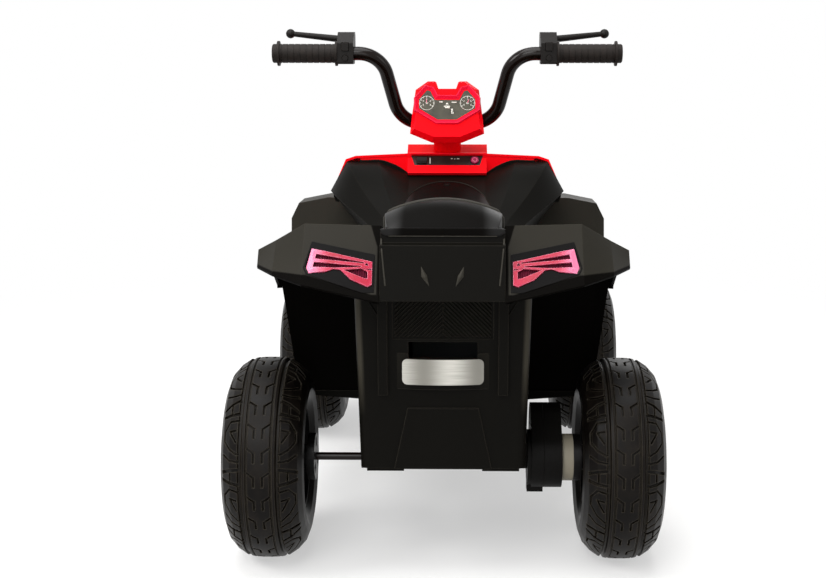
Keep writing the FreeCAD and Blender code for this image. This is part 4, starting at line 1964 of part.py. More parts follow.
def foot_pedal():
    """Ribbed accelerator pedal on its pin."""
    half = PEDAL_WIDTH / 2
    low = PEDAL_Z - PEDAL_PIN_DIAMETER / 2
    plate = box(Vector(PEDAL_X - half, PEDAL_Y - PEDAL_PIN_DIAMETER, low),
                Vector(PEDAL_X + half, PEDAL_Y + PEDAL_LENGTH, low + PEDAL_THICKNESS))
    pieces = [plate]
    pitch = PEDAL_LENGTH / (PEDAL_RIB_COUNT + 1)
    for index in range(PEDAL_RIB_COUNT):
        y = PEDAL_Y + pitch * (index + 1)
        pieces.append(box(Vector(PEDAL_X - half + WALL, y - TREAD_RIB_WIDTH / 2, low),
                          Vector(PEDAL_X + half - WALL, y + TREAD_RIB_WIDTH / 2,
                                 low + PEDAL_THICKNESS + TREAD_RIB_HEIGHT)))
    pin_length = PEDAL_WIDTH + MOVE_GAP * 2 + PEDAL_EAR * 2
    pieces.append(about((PEDAL_Y, PEDAL_Z), PEDAL_X - pin_length / 2, PEDAL_PIN_DIAMETER, pin_length))
    body = fused(pieces)
    body.rotate(Vector(PEDAL_X, PEDAL_Y, PEDAL_Z), ALONG_X, PEDAL_TILT)
    return body


def pedal_switch():
    """Switch block under the pedal's toe end."""
    y = PEDAL_Y + PEDAL_LENGTH / 2
    low = FOOTBOARD_TOP + FIT_GAP
    block = box(Vector(PEDAL_X - SWITCH_WIDTH / 2, y, low),
                Vector(PEDAL_X + SWITCH_WIDTH / 2, y + SWITCH_LENGTH, low + SWITCH_HEIGHT))
    plunger = cylinder(Vector(PEDAL_X, y + SWITCH_LENGTH / 2, low + SWITCH_HEIGHT), ALONG_Z,
                       PLUNGER_DIAMETER, PLUNGER_HEIGHT)
    return fused([block, plunger])


# Screws
def screw_places():
    """Heads' lower faces: two on the hood, one on the seat's tongue."""
    hood_z = hood_top_z(FRONT_AXLE_Y - HOOD_SCREW_SETBACK) - SCREW_HEAD_HEIGHT / 2
    section = SEAT_SECTION_SHARES[SEAT_SCREW_SECTION]
    seat_y = SEAT_REAR_Y + section[0] * (SEAT_FRONT_Y - SEAT_REAR_Y)
    seat_z = TUB_TOP + section[-1] * SEAT_HEIGHT - SCREW_HEAD_HEIGHT
    places = [Vector(side * HOOD_SCREW_X, FRONT_AXLE_Y - HOOD_SCREW_SETBACK, hood_z) for side in (-1, 1)]
    places.append(Vector(0, seat_y, seat_z))
    return places


def hood_top_z(y):
    """Height of the hood's upper panel at a place along it."""
    low_z = TUB_TOP + HOOD_TOP_RISE - HOOD_HEIGHT
    share = (y - FRONT_AXLE_Y + HOOD_REAR) / HOOD_LENGTH
    (start, near), (end, far) = HOOD_SECTION_SHARES[:2]
    near_z = near[1][1]
    far_z = far[1][1]
    return low_z + (near_z + (far_z - near_z) * (share - start) / (end - start)) * HOOD_HEIGHT


def screw(place):
    head = cylinder(place, ALONG_Z, SCREW_HEAD_DIAMETER, SCREW_HEAD_HEIGHT)
    return fused([head, cylinder(place - ALONG_Z * SCREW_LENGTH, ALONG_Z, SCREW_DIAMETER, SCREW_LENGTH)])


def screw_hole(place):
    """Countersunk seat and through hole of a screw."""
    seat_low = place - ALONG_Z * FIT_GAP
    head = cylinder(seat_low, ALONG_Z, SCREW_HEAD_DIAMETER + FIT_GAP * 2, SCREW_HEAD_HEIGHT + OVERRUN)
    shank = cylinder(place - ALONG_Z * (SCREW_LENGTH + OVERRUN), ALONG_Z, SCREW_DIAMETER + FIT_GAP * 2,
                     SCREW_LENGTH + OVERRUN * 2)
    return fused([head, shank])


def body_screws():
    return Part.makeCompound([screw(place) for place in screw_places()])


# Assembly
def wheel_parts():
    """Tyre, rim and cap of each wheel."""
    shapes = {"tyre": tyre(), "rim": rim(), "hub_cap": hub_cap()}
    parts = {}
    for row, y in (("rear", REAR_AXLE_Y), ("front", FRONT_AXLE_Y)):
        for side, x in (("left", -WHEEL_X), ("right", WHEEL_X)):
            for name, shape in shapes.items():
                parts[name + "_" + row + "_" + side] = at_wheel(shape, x, y)
    return parts


def body_parts():
    envelope = tub_envelope()
    fender = front_fender(envelope)
    return {
        "lower_body": lower_body(),
        "rear_body": rear_body(envelope),
        "tail_panel": tail_panel(),
        "tail_lamps": tail_lamps(),
        "rear_plate": rear_plate(),
        "seat": seat(),
        "tank_cover": tank_cover(),
        "hood": hood(),
        "dash_panel": dash_panel(),
        "power_button": power_button(),
        "direction_switch": direction_switch(),
        "headlamps": headlamps(),
        "front_fender_right": fender,
        "front_fender_left": mirrored(fender),
        "front_bumper": front_bumper(),
        "body_screws": body_screws(),
        "battery": battery(),
        "control_board": control_board(),
        "speaker": speaker(),
        "charge_socket": charge_socket(),
        "foot_pedal": foot_pedal(),
        "pedal_switch": pedal_switch(),
    }


def drive_parts():
    nuts = [nut(Vector(NUT_X, REAR_AXLE_Y, AXLE_Z), ALONG_X)]
    nuts.append(mirrored(nuts[0]))
    return {
        "rear_axle": axle_rod(-AXLE_END_X, AXLE_END_X, REAR_AXLE_Y),
        "axle_nuts": Part.makeCompound(nuts),
        "gearbox_inner": gearbox_inner(),
        "gearbox_outer": gearbox_outer(),
        "motor": motor(),
        "motor_pinion": motor_pinion(),
        "reduction_gear": reduction_gear(),
        "drive_gear": drive_gear(),
    }


def steering_parts():
    right_knuckle = knuckle()
    right_nut = nut(Vector(NUT_X, FRONT_AXLE_Y, AXLE_Z), ALONG_X)
    right_lever = brake_lever()
    upper = square_button_space(0)
    lower = round_button_space(0)
    return {
        "handlebar": handlebar(),
        "grips": grips(),
        "control_housings": control_housings(),
        "brake_lever_right": right_lever,
        "brake_lever_left": mirrored(right_lever),
        "upper_button_right": upper,
        "upper_button_left": mirrored(upper),
        "lower_button_right": lower,
        "lower_button_left": mirrored(lower),
        "binnacle": binnacle(),
        "instrument_panel": instrument_panel(),
        "steering_column": steering_column(),
        "column_bushes": column_bushes(),
        "knuckle_right": right_knuckle,
        "knuckle_left": mirrored(right_knuckle),
        "stub_nut_right": right_nut,
        "stub_nut_left": mirrored(right_nut),
        "tie_rod": tie_rod(),
    }


os.makedirs("parts", exist_ok=True)
for make in (wheel_parts, drive_parts, steering_parts, body_parts):
    for name, shape in make().items():
        print(name, len(shape.Solids), round(shape.Volume), shape.isValid())
        shape.exportStep("parts/" + name + ".step")
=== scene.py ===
# %% [markdown]
# # A battery quad bike for small children
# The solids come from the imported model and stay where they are. This lesson gives each of
# them the finish of the real piece and adds the thin printed and moulded details that are
# too fine for the solids. Everything is in metres: +Y is forward, +X the rider's right.

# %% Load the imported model
import math
import bmesh
import bpy
from mathutils import Matrix, Vector
from mathutils.bvhtree import BVHTree


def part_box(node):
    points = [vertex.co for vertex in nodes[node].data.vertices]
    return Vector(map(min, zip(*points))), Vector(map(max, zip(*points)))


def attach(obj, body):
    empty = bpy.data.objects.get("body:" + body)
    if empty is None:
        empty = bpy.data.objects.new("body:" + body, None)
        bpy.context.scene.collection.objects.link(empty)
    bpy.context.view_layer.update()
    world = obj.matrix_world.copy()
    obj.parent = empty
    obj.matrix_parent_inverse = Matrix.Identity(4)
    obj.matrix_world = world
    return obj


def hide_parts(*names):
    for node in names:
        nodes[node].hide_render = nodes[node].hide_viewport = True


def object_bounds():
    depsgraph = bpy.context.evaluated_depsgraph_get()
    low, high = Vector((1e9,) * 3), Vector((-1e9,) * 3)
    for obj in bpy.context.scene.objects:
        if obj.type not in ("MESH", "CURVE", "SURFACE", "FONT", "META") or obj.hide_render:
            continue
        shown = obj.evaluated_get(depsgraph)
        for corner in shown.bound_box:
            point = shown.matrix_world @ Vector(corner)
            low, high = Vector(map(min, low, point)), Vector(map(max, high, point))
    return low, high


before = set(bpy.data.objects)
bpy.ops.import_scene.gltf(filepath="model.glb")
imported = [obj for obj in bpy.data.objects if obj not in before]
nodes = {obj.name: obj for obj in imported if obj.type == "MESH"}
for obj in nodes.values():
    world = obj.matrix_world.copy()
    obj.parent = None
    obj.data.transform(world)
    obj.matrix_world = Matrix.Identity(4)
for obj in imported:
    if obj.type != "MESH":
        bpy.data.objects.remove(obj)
cad_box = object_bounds()
MM = 0.001
print("pieces:", len(nodes), "box:", [round(v, 3) for corner in cad_box for v in corner])

# %% [markdown]
# ## Camera
# The photograph was taken from behind, a little above the seat, with a short telephoto
# lens. Lens, height and tilt were fitted to the tyres, the axle and the handlebar, so the
# camera is placed from those numbers and shifted sideways as the photograph is cropped.

# %% Camera
CAMERA_SPOT = (17.4 * MM, -1592.4 * MM, 547.2 * MM)
CAMERA_DOWN = 11.154
CAMERA_YAW = 0.718
camera_data = bpy.data.cameras.new("camera_behind")
camera_data.lens = 60
camera_data.sensor_width = 36
camera_data.sensor_fit = "HORIZONTAL"
camera_data.shift_x = -0.0381
camera_data.clip_end = 100
camera = bpy.data.objects.new("camera_behind", camera_data)
camera.location = CAMERA_SPOT
camera.rotation_euler = (math.radians(90 - CAMERA_DOWN), 0, math.radians(CAMERA_YAW))
bpy.context.scene.collection.objects.link(camera)
bpy.context.scene.camera = camera
print("camera", [round(v, 3) for v in camera.location])


# %% [markdown]
# ## Small helpers
# Colours are written as sRGB hex values, as a paint chart gives them, and one function
# turns them to the linear values that a shader needs. Another adds a shader node with its
# settings and links, so each finish below reads as a list. Patterns are given in
# millimetres, and a short function turns that to a scale.

# %% Colour and node helpers
def linear(code):
    """Linear colour with alpha, from an sRGB hex value."""
    channels = [int(code[i:i + 2], 16) / 255 for i in (1, 3, 5)]
    return [c / 12.92 if c <= 0.04045 else ((c + 0.055) / 1.055) ** 2.4 for c in channels] + [1.0]


def fill(tree, node, inputs):
    """Give a node its inputs: another node's output is linked, a colour or a value is set."""
    for key, value in inputs.items():
        if isinstance(value, bpy.types.NodeSocket):
            tree.links.new(value, node.inputs[key])
        else:
            node.inputs[key].default_value = linear(value) if isinstance(value, str) else value


def add(tree, kind, inputs=None, **settings):
    """Add a node with its settings and links."""
    made = tree.nodes.new("ShaderNode" + kind)
    for key, value in settings.items():
        setattr(made, key, value)
    fill(tree, made, inputs or {})
    return made


def start_material(name):
    """New material, its tree, its shader and its object coordinates."""
    made = bpy.data.materials.new(name)
    made.use_nodes = True
    tree = made.node_tree
    return made, tree, tree.nodes["Principled BSDF"], add(tree, "TexCoord").outputs["Object"]


def per_mm(size):
    """Pattern scale for a feature of this size in millimetres."""
    return 1 / (size * MM)


print("black in linear:", [round(v, 4) for v in linear("#161513")])

# %% [markdown]
# ## Studio
# The studio is a white sweep. The floor is matt and takes the shadow near the wheels;
# further out it fades into the white of the background, which camera, mirror and glass
# rays see alike. One function makes that switch for the floor and for the world.

# %% Floor
FLOOR_REACH = 9.0
FADE_START = 0.25
FADE_END = 1.4
FADE_LEAST = 0.5


def seen_directly(tree):
    """1 for rays that look at the background: camera, mirror and glass rays."""
    rays = add(tree, "LightPath").outputs
    both = add(tree, "Math", {0: rays["Is Camera Ray"], 1: rays["Is Glossy Ray"]}, operation="ADD")
    return add(tree, "Math", {0: both.outputs[0], 1: rays["Is Transmission Ray"]},
               operation="ADD", use_clamp=True).outputs[0]


corners = [(-FLOOR_REACH, -FLOOR_REACH, 0), (FLOOR_REACH, -FLOOR_REACH, 0),
           (FLOOR_REACH, FLOOR_REACH, 0), (-FLOOR_REACH, FLOOR_REACH, 0)]
floor_mesh = bpy.data.meshes.new("studio_floor")
floor_mesh.from_pydata(corners, [], [(0, 1, 2, 3)])
floor = bpy.data.objects.new("studio_floor", floor_mesh)
bpy.context.scene.collection.objects.link(floor)
floor_finish, tree, shader, spot = start_material("matt_white_floor")
fill(tree, shader, {"Base Color": "#f3f2f0", "Roughness": 0.9})
far = add(tree, "VectorMath", {0: spot}, operation="LENGTH")
fade = add(tree, "MapRange", {"Value": far.outputs["Value"], "From Min": FADE_START,
                              "From Max": FADE_END, "To Min": FADE_LEAST},
           interpolation_type="SMOOTHSTEP")
amount = add(tree, "Math", {0: fade.outputs[0], 1: seen_directly(tree)}, operation="MULTIPLY")
glow = add(tree, "Emission", {"Strength": 1.0})
mix = add(tree, "MixShader", {0: amount.outputs[0], 1: shader.outputs[0], 2: glow.outputs[0]})
fill(tree, tree.nodes["Material Output"], {"Surface": mix.outputs[0]})
floor_mesh.materials.append(floor_finish)
print("floor reaches", FLOOR_REACH, "m each way")

# %% [markdown]
# The world lights the model only dimly, so that the blacks stay black, but it is pure white
# where it is seen.

# %% White background
WORLD_LEVEL = 0.36
world = bpy.data.worlds.new("white_studio")
bpy.context.scene.world = world
world.use_nodes = True
tree = world.node_tree
dim = tree.nodes["Background"]
fill(tree, dim, {"Color": "#ffffff", "Strength": WORLD_LEVEL})
white = add(tree, "Background", {"Color": "#ffffff", "Strength": 1.0})
mix = add(tree, "MixShader", {0: seen_directly(tree), 1: dim.outputs[0], 2: white.outputs[0]})
fill(tree, tree.nodes["World Output"], {"Surface": mix.outputs[0]})
print("background as light:", WORLD_LEVEL)

# %% [markdown]
# Black plastic shows its form by its highlights alone, so the lamps are large soft boxes:
# a strong one overhead that picks out the tops of the fenders, one at the left that draws
# the edges, a low and a high one behind the camera for the faces under the dials and for
# the wings, and two weak ones that keep the right and the front readable.

# %% Soft boxes
LOOK_AT = Vector((0, 0, 0.3))
soft_boxes = (
    ("top_box", (-0.2, -0.35, 2.5), 1.9, 62),
    ("left_box", (-2.0, -0.95, 1.9), 1.1, 40),
    ("right_box", (2.0, -1.2, 1.4), 1.2, 9),
    ("front_box", (0.5, 2.6, 1.7), 1.4, 12),
    ("rear_box", (-0.3, -2.7, 0.75), 1.3, 12),
    ("high_box", (-0.6, -2.3, 2.1), 1.2, 34),
)
for name, spot, size, watts in soft_boxes:
    data = bpy.data.lights.new(name, "AREA")
    data.size = size
    data.energy = watts
    lamp = bpy.data.objects.new(name, data)
    lamp.location = spot
    lamp.rotation_euler = (LOOK_AT - Vector(spot)).to_track_quat("-Z", "Y").to_euler()
    bpy.context.scene.collection.objects.link(lamp)
bpy.context.scene.view_settings.view_transform = "Standard"
print("soft boxes:", len(soft_boxes))


# %% [markdown]
# ## Moulded polypropylene
# The body panels are injection-moulded polypropylene. The mould is spark-eroded, which
# leaves a fine leathery grain that breaks up the highlight, and it has small radii on its
# edges. Grain is a bump from noise, and the radii are a bevel of the shading normal, which
# also finds the edges that are painted pale, partly as wear and partly as a painted
# highlight. Real grain is about 0.5 mm; it is drawn at 1.4 mm so that it shows at this
# distance. Broad faint clouds stand for the flow of the plastic and for handling marks.

# %% Moulded plastic
CLOUD_MM = 70
CLOUD_RANGE = (0.3, 0.7)
CLOUD_TINTS = (0.8, 1.2)
CLOUD_ROUGHNESS = (-0.05, 0.06)
PANEL_EDGE_TURN = (0.99, 0.75)


def edge_share(tree, radius_mm, turns, samples=4):
    """Normal with softened edges, and a share from 0 to 1 of lying on such an edge."""
    soft = add(tree, "Bevel", {"Radius": radius_mm * MM}, samples=samples).outputs[0]
    flat = add(tree, "NewGeometry").outputs["Normal"]
    turn = add(tree, "VectorMath", {0: soft, 1: flat}, operation="DOT_PRODUCT").outputs["Value"]
    share = add(tree, "MapRange", {"Value": turn, "From Min": turns[0], "From Max": turns[1]})
    return soft, share.outputs[0]


def moulded_plastic(name, code, roughness, specular, grain_mm, grain_depth, edge_mm, edge_highlight_and_wear_code):
    """Grained plastic with faint clouds, and edges painted another colour for wear and a painted highlight.
    """
    made, tree, shader, spot = start_material(name)
    grain = add(tree, "TexNoise", {"Vector": spot, "Scale": per_mm(grain_mm), "Detail": 3.0,
                                   "Roughness": 0.6})
    cloud = add(tree, "TexNoise", {"Vector": spot, "Scale": per_mm(CLOUD_MM), "Detail": 2.0})
    soft, edge_highlight_and_wear = edge_share(tree, edge_mm, PANEL_EDGE_TURN)
    dark, light = [[c * share for c in linear(code)[:3]] + [1] for share in CLOUD_TINTS]
    tint = add(tree, "Mix", {0: cloud.outputs["Fac"], 6: dark, 7: light}, data_type="RGBA")
    # Painted highlight and wear: edges found by the bevel are blended to the paler edge colour.
    worn_and_highlit = add(tree, "Mix", {0: edge_highlight_and_wear, 6: tint.outputs[2], 7: edge_highlight_and_wear_code}, data_type="RGBA")
    rough = add(tree, "MapRange", {"Value": cloud.outputs["Fac"], "From Min": CLOUD_RANGE[0],
                                   "From Max": CLOUD_RANGE[1],
                                   "To Min": roughness + CLOUD_ROUGHNESS[0],
                                   "To Max": roughness + CLOUD_ROUGHNESS[1]})
    bump = add(tree, "Bump", {"Height": grain.outputs["Fac"], "Strength": 0.35,
                              "Distance": grain_depth * MM, "Normal": soft})
    fill(tree, shader, {"Base Color": worn_and_highlit.outputs[2], "Roughness": rough.outputs[0],
                        "Normal": bump.outputs[0], "IOR": 1.49, "Specular IOR Level": specular})
    return made


print("clouds of", CLOUD_MM, "mm")

# %% [markdown]
# Each piece of the body has its own tint and gloss. The numbers are roughness, gloss, size
# and depth of the grain and radius of the edges, and the last colour is painted on the
# edges, partly as wear and partly as a painted highlight. The seat is dull in the middle and
# polished by the rider's legs at its sides, so its gloss grows with the distance from the
# middle.

# %% Moulded plastic finishes
BODY_BLACK = ("#090806", 0.46, 0.04, 1.4, 0.10, 1.2, "#2a2722")
# The lighter black below is painted light, for the light on the tops of the wings and fenders.
PAINTED_LIGHT_BLACK = ("#211f1a", 0.46, 0.06, 1.4, 0.10, 1.2, "#37342c")
SEAT_POLISH_MM = (36, 50)
SEAT_GLOSS = (0.015, 0.16)


def sideways(tree, vector):
    """How far a vector goes along X, to either side."""
    across = add(tree, "SeparateXYZ", {0: vector}).outputs["X"]
    return add(tree, "Math", {0: across}, operation="ABSOLUTE").outputs[0]


black_pp = moulded_plastic("polypropylene_black_grained", *BODY_BLACK)
wing_pp = moulded_plastic("polypropylene_black_painted_light", *PAINTED_LIGHT_BLACK)
seat_pp = moulded_plastic("polypropylene_black_seat", "#080706", 0.42, 0.02, 1.1, 0.05, 2.5, "#0f0d0b")
# The paler satin grey of the trim is a painted highlight for beads and blades that catch the light.
trim_highlight_pp = moulded_plastic("polypropylene_satin_trim", "#2b2924", 0.50, 0.12, 1.1, 0.05, 1.0, "#3c3932")
red_pp = moulded_plastic("polypropylene_red_gloss", "#e60310", 0.48, 0.035, 3.0, 0.02, 0.8, "#ee2440")
# The visor's pinker red is a painted sheen for the light on its sloping faces.
visor_sheen_pp = moulded_plastic("polypropylene_red_visor_painted_sheen", "#de1030", 0.42, 0.05, 3.0, 0.02, 0.8, "#f04a70")
control_pp = moulded_plastic("polypropylene_charcoal", "#110e0c", 0.44, 0.12, 1.2, 0.08, 0.7, "#2c2621")
gearbox_pp = moulded_plastic("polypropylene_gearbox", "#060504", 0.50, 0.08, 1.4, 0.08, 0.8, "#12110f")
rim_pp = moulded_plastic("polypropylene_rim_black", "#0c0b0b", 0.36, 0.16, 1.6, 0.04, 0.8, "#242323")
cap_pp = moulded_plastic("polypropylene_hub_cap", "#1c1b1b", 0.26, 0.25, 2.0, 0.03, 0.8, "#3a3939")
bezel_pp = moulded_plastic("polypropylene_lamp_bezel", "#040303", 0.34, 0.05, 4.0, 0.01, 0.4, "#171310")
nylon = moulded_plastic("nylon_natural_greased", "#837d6e", 0.45, 0.3, 1.2, 0.05, 0.5, "#a09a8a")
battery_abs = moulded_plastic("abs_battery_case", "#3a3c3f", 0.5, 0.4, 1.5, 0.05, 0.6, "#4b4d50")
tree = seat_pp.node_tree
outward = sideways(tree, add(tree, "TexCoord").outputs["Object"])
polish = add(tree, "MapRange", {"Value": outward, "From Min": SEAT_POLISH_MM[0] * MM,
                                "From Max": SEAT_POLISH_MM[1] * MM, "To Min": SEAT_GLOSS[0],
                                "To Max": SEAT_GLOSS[1]}, interpolation_type="SMOOTHSTEP")
fill(tree, tree.nodes["Principled BSDF"], {"Specular IOR Level": polish.outputs[0]})
print("moulded finishes:", len(bpy.data.materials) - 1)

# %% [markdown]
# The wings and front fenders are in a lighter black, which is painted light for the light
# that falls on their tops. The lip under each wing, the flank next to the seat and the guards
# are painted back to black as painted shade, so the lighter tint ends at two lines, which
# are given in millimetres.

# %% Painted light and shade on the wings
LIP_LINE_X = (64.9, 126.5)
LIP_LINE_Z = (298.6, 315.2)
FLANK_LINE_Z = (337.5, 356.0)
FLANK_LINE_X = (61.4, 67.9)
SHADE_BLEND = 1.2


def paint_light_and_shade_over(made, share, code, specular):
    """Paint shade or a highlight over a finish: blend its own colour and gloss to others, by a share from 0
    to 1.
    """
    tree = made.node_tree
    shader = tree.nodes["Principled BSDF"]
    own_colour = shader.inputs["Base Color"].links[0].from_socket
    own_gloss = shader.inputs["Specular IOR Level"].default_value
    tint = add(tree, "Mix", {0: share, 6: own_colour, 7: code}, data_type="RGBA")
    level = add(tree, "MapRange", {"Value": share, "To Min": own_gloss, "To Max": specular})
    fill(tree, shader, {"Base Color": tint.outputs[2], "Specular IOR Level": level.outputs[0]})


def line_side(tree, along, over, along_mm, line_mm):
    """Share from 0 to 1 of being under a sloping line."""
    line = add(tree, "MapRange", {"Value": along, "From Min": along_mm[0] * MM,
                                  "From Max": along_mm[1] * MM, "To Min": line_mm[0] * MM,
                                  "To Max": line_mm[1] * MM})
    under = add(tree, "Math", {0: line.outputs[0], 1: over}, operation="SUBTRACT")
    share = add(tree, "MapRange", {"Value": under.outputs[0], "From Max": SHADE_BLEND * MM})
    return share.outputs[0]


tail_pp = moulded_plastic("polypropylene_black_painted_light_and_shade", *PAINTED_LIGHT_BLACK)
tree = tail_pp.node_tree
spot = add(tree, "TexCoord").outputs["Object"]
outward = sideways(tree, spot)
height = add(tree, "SeparateXYZ", {0: spot}).outputs["Z"]
lip = line_side(tree, outward, height, LIP_LINE_X, LIP_LINE_Z)
flank = line_side(tree, height, outward, FLANK_LINE_Z, FLANK_LINE_X)
shaded = add(tree, "Math", {0: lip, 1: flank}, operation="MAXIMUM").outputs[0]
# Painted shade: under the lip line and beside the flank line the finish turns black and loses its gloss.
paint_light_and_shade_over(tail_pp, shaded, "#060504", 0.012)
print("painted light and shade finish:", tail_pp.name)

# %% [markdown]
# A highlight is painted pale grey along the upper part of the tub's rounded corners, fading
# out lower down: there the surface turns from the rear to the side, so the sideways part of its
# normal is neither 0 nor 1.

# %% Painted corner highlights
HIGHLIGHT_LOW = 170.0
HIGHLIGHT_FULL = 220.0
CORNER_START = (0.15, 0.5)
CORNER_END = (0.98, 0.8)
tub_pp = moulded_plastic("polypropylene_black_painted_corner_highlight", *BODY_BLACK)
tree = tub_pp.node_tree
turned = sideways(tree, add(tree, "NewGeometry").outputs["Normal"])
rise = add(tree, "MapRange", {"Value": turned, "From Min": CORNER_START[0], "From Max": CORNER_START[1]})
fall = add(tree, "MapRange", {"Value": turned, "From Min": CORNER_END[0], "From Max": CORNER_END[1]})
corner = add(tree, "Math", {0: rise.outputs[0], 1: fall.outputs[0]}, operation="MULTIPLY")
spot = add(tree, "TexCoord").outputs["Object"]
height = add(tree, "SeparateXYZ", {0: spot}).outputs["Z"]
reach = add(tree, "MapRange", {"Value": height, "From Min": HIGHLIGHT_LOW * MM, "From Max": HIGHLIGHT_FULL * MM})
painted_corner_highlight = add(tree, "Math", {0: corner.outputs[0], 1: reach.outputs[0]}, operation="MULTIPLY")
# Painted highlight: the corners turn pale grey and glossier above the lower height.
paint_light_and_shade_over(tub_pp, painted_corner_highlight.outputs[0], "#2e2b24", 0.08)
print("rubbed finish:", tub_pp.name)

# %% [markdown]
# ## Tyres and grips
# Blow-moulded polyethylene tyres are satin with a slightly waxy, streaky skin, and they
# scuff to grey on the tread. The wear is a noise that follows the surface. The edges of the
# tread are painted a paler grey, partly as wear and partly as a painted highlight.

# %% Tyre finish
TYRE_SKIN_MM = 2.2
TYRE_SCUFF_MM = 24
TYRE_EDGE_MM = 1.4
TYRE_EDGE_TURN = (0.98, 0.75)
tyre_pe, tree, shader, spot = start_material("polyethylene_tyre_black")
skin = add(tree, "TexNoise", {"Vector": spot, "Scale": per_mm(TYRE_SKIN_MM), "Detail": 4.0})
scuff = add(tree, "TexNoise", {"Vector": spot, "Scale": per_mm(TYRE_SCUFF_MM), "Detail": 5.0,
                               "Roughness": 0.65}).outputs["Fac"]
soft, edge_highlight_and_wear = edge_share(tree, TYRE_EDGE_MM, TYRE_EDGE_TURN)
shade = add(tree, "MapRange", {"Value": scuff, "From Min": 0.45, "From Max": 0.75})
tint = add(tree, "Mix", {0: shade.outputs[0], 6: "#080605", 7: "#15110d"}, data_type="RGBA")
# Painted highlight and wear on the edges of the tread.
worn_and_highlit = add(tree, "Mix", {0: edge_highlight_and_wear, 6: tint.outputs[2], 7: "#3d382f"}, data_type="RGBA")
rough = add(tree, "MapRange", {"Value": scuff, "From Min": 0.3, "From Max": 0.7,
                               "To Min": 0.30, "To Max": 0.46})
bump = add(tree, "Bump", {"Height": skin.outputs["Fac"], "Strength": 0.4, "Distance": 0.12 * MM,
                          "Normal": soft})
fill(tree, shader, {"Base Color": worn_and_highlit.outputs[2], "Roughness": rough.outputs[0],
                    "Normal": bump.outputs[0], "IOR": 1.52, "Specular IOR Level": 0.08})
print("tyre finish:", tyre_pe.name)

# %% [markdown]
# The grips are soft PVC sleeves, matt, with fine turned rings and dust in them. The rings
# are a wave pattern along the bar.

# %% Grip finish
RING_PITCH_MM = 1.4
DUST_MM = 6


def wave_scale(pitch):
    """Scale of a wave pattern that repeats at this pitch in millimetres."""
    return per_mm(pitch) * math.tau / 20


grip_pvc, tree, shader, spot = start_material("pvc_grip_soft")
rib = add(tree, "TexWave", {"Vector": spot, "Scale": wave_scale(RING_PITCH_MM)}, bands_direction="X")
dust = add(tree, "TexNoise", {"Vector": spot, "Scale": per_mm(DUST_MM), "Detail": 4.0})
tint = add(tree, "Mix", {0: dust.outputs["Fac"], 6: "#0d0b09", 7: "#1f1814"}, data_type="RGBA")
bump = add(tree, "Bump", {"Height": rib.outputs["Fac"], "Strength": 0.4, "Distance": 0.12 * MM})
fill(tree, shader, {"Base Color": tint.outputs[2], "Normal": bump.outputs[0], "Roughness": 0.56,
                    "Specular IOR Level": 0.14})
print("grip finish:", grip_pvc.name)


# %% [markdown]
# ## Metal pieces
# Nuts and shafts are zinc-plated steel with a cloudy bloom. The body screws have the same
# finish in a near-black tint, which is painted shade for the holes they sit in.

# %% Bare metal finishes
def bare_metal(name, dark, light, bloom_mm):
    """Plated or blackened steel, clouded at the size of its bloom."""
    made, tree, shader, spot = start_material(name)
    bloom = add(tree, "TexNoise", {"Vector": spot, "Scale": per_mm(bloom_mm), "Detail": 5.0})
    tint = add(tree, "Mix", {0: bloom.outputs["Fac"], 6: dark, 7: light}, data_type="RGBA")
    rough = add(tree, "MapRange", {"Value": bloom.outputs["Fac"], "From Min": 0.3, "From Max": 0.7,
                                   "To Min": 0.25, "To Max": 0.42})
    fill(tree, shader, {"Base Color": tint.outputs[2], "Roughness": rough.outputs[0], "Metallic": 1.0})
    return made


steel = bare_metal("steel_zinc_plated", "#9a9a97", "#c3c4c2", 5)
hole_shade_steel = bare_metal("steel_painted_hole_shade", "#161513", "#3a3835", 2)
print("bare metals:", steel.name, hole_shade_steel.name)

# %% [markdown]
# The handlebar and the rear axle are tubes and rods in black stove enamel, smooth and glossy
# with a faint orange peel.

# %% Enamel finish
PEEL_MM = 3
bar_enamel, tree, shader, spot = start_material("enamel_black_on_steel")
peel = add(tree, "TexNoise", {"Vector": spot, "Scale": per_mm(PEEL_MM), "Detail": 2.0})
tint = add(tree, "Mix", {0: peel.outputs["Fac"], 6: "#080403", 7: "#120a07"}, data_type="RGBA")
bump = add(tree, "Bump", {"Height": peel.outputs["Fac"], "Strength": 0.15, "Distance": 0.05 * MM})
fill(tree, shader, {"Base Color": tint.outputs[2], "Normal": bump.outputs[0], "Roughness": 0.17,
                    "Specular IOR Level": 0.16})
print("enamel:", bar_enamel.name)

# %% [markdown]
# The plate behind the seat is brushed aluminium foil. The brush lines run side to side, so
# the noise is stretched along X, and a slow wave paints light and dark thirds along the bowed
# sheet, a painted reflection.

# %% Foil finish
BRUSH_LENGTH_MM = 40
BRUSH_WIDTH_MM = 0.7
PAINTED_SHEEN_PITCH_MM = 52
plate_foil, tree, shader, spot = start_material("aluminium_foil_plate_brushed")
stretch = add(tree, "Mapping", {"Vector": spot, "Scale": (per_mm(BRUSH_LENGTH_MM), per_mm(BRUSH_LENGTH_MM),
                                                          per_mm(BRUSH_WIDTH_MM))})
brush = add(tree, "TexNoise", {"Vector": stretch.outputs[0], "Scale": 1.0, "Detail": 3.0})
painted_sheen = add(tree, "TexWave", {"Vector": spot, "Scale": wave_scale(PAINTED_SHEEN_PITCH_MM),
                              "Phase Offset": 2.2}, bands_direction="X")
# Painted reflection: the wave blends the foil between a dark and a light tint.
share = add(tree, "Math", {0: painted_sheen.outputs["Fac"], 1: brush.outputs["Fac"]}, operation="MULTIPLY")
tint = add(tree, "Mix", {0: share.outputs[0], 6: "#7d7b74", 7: "#e2e0d8"}, data_type="RGBA")
rough = add(tree, "MapRange", {"Value": brush.outputs["Fac"], "To Min": 0.34, "To Max": 0.5})
fill(tree, shader, {"Base Color": tint.outputs[2], "Roughness": rough.outputs[0], "Metallic": 0.75})
print("foil:", plate_foil.name)
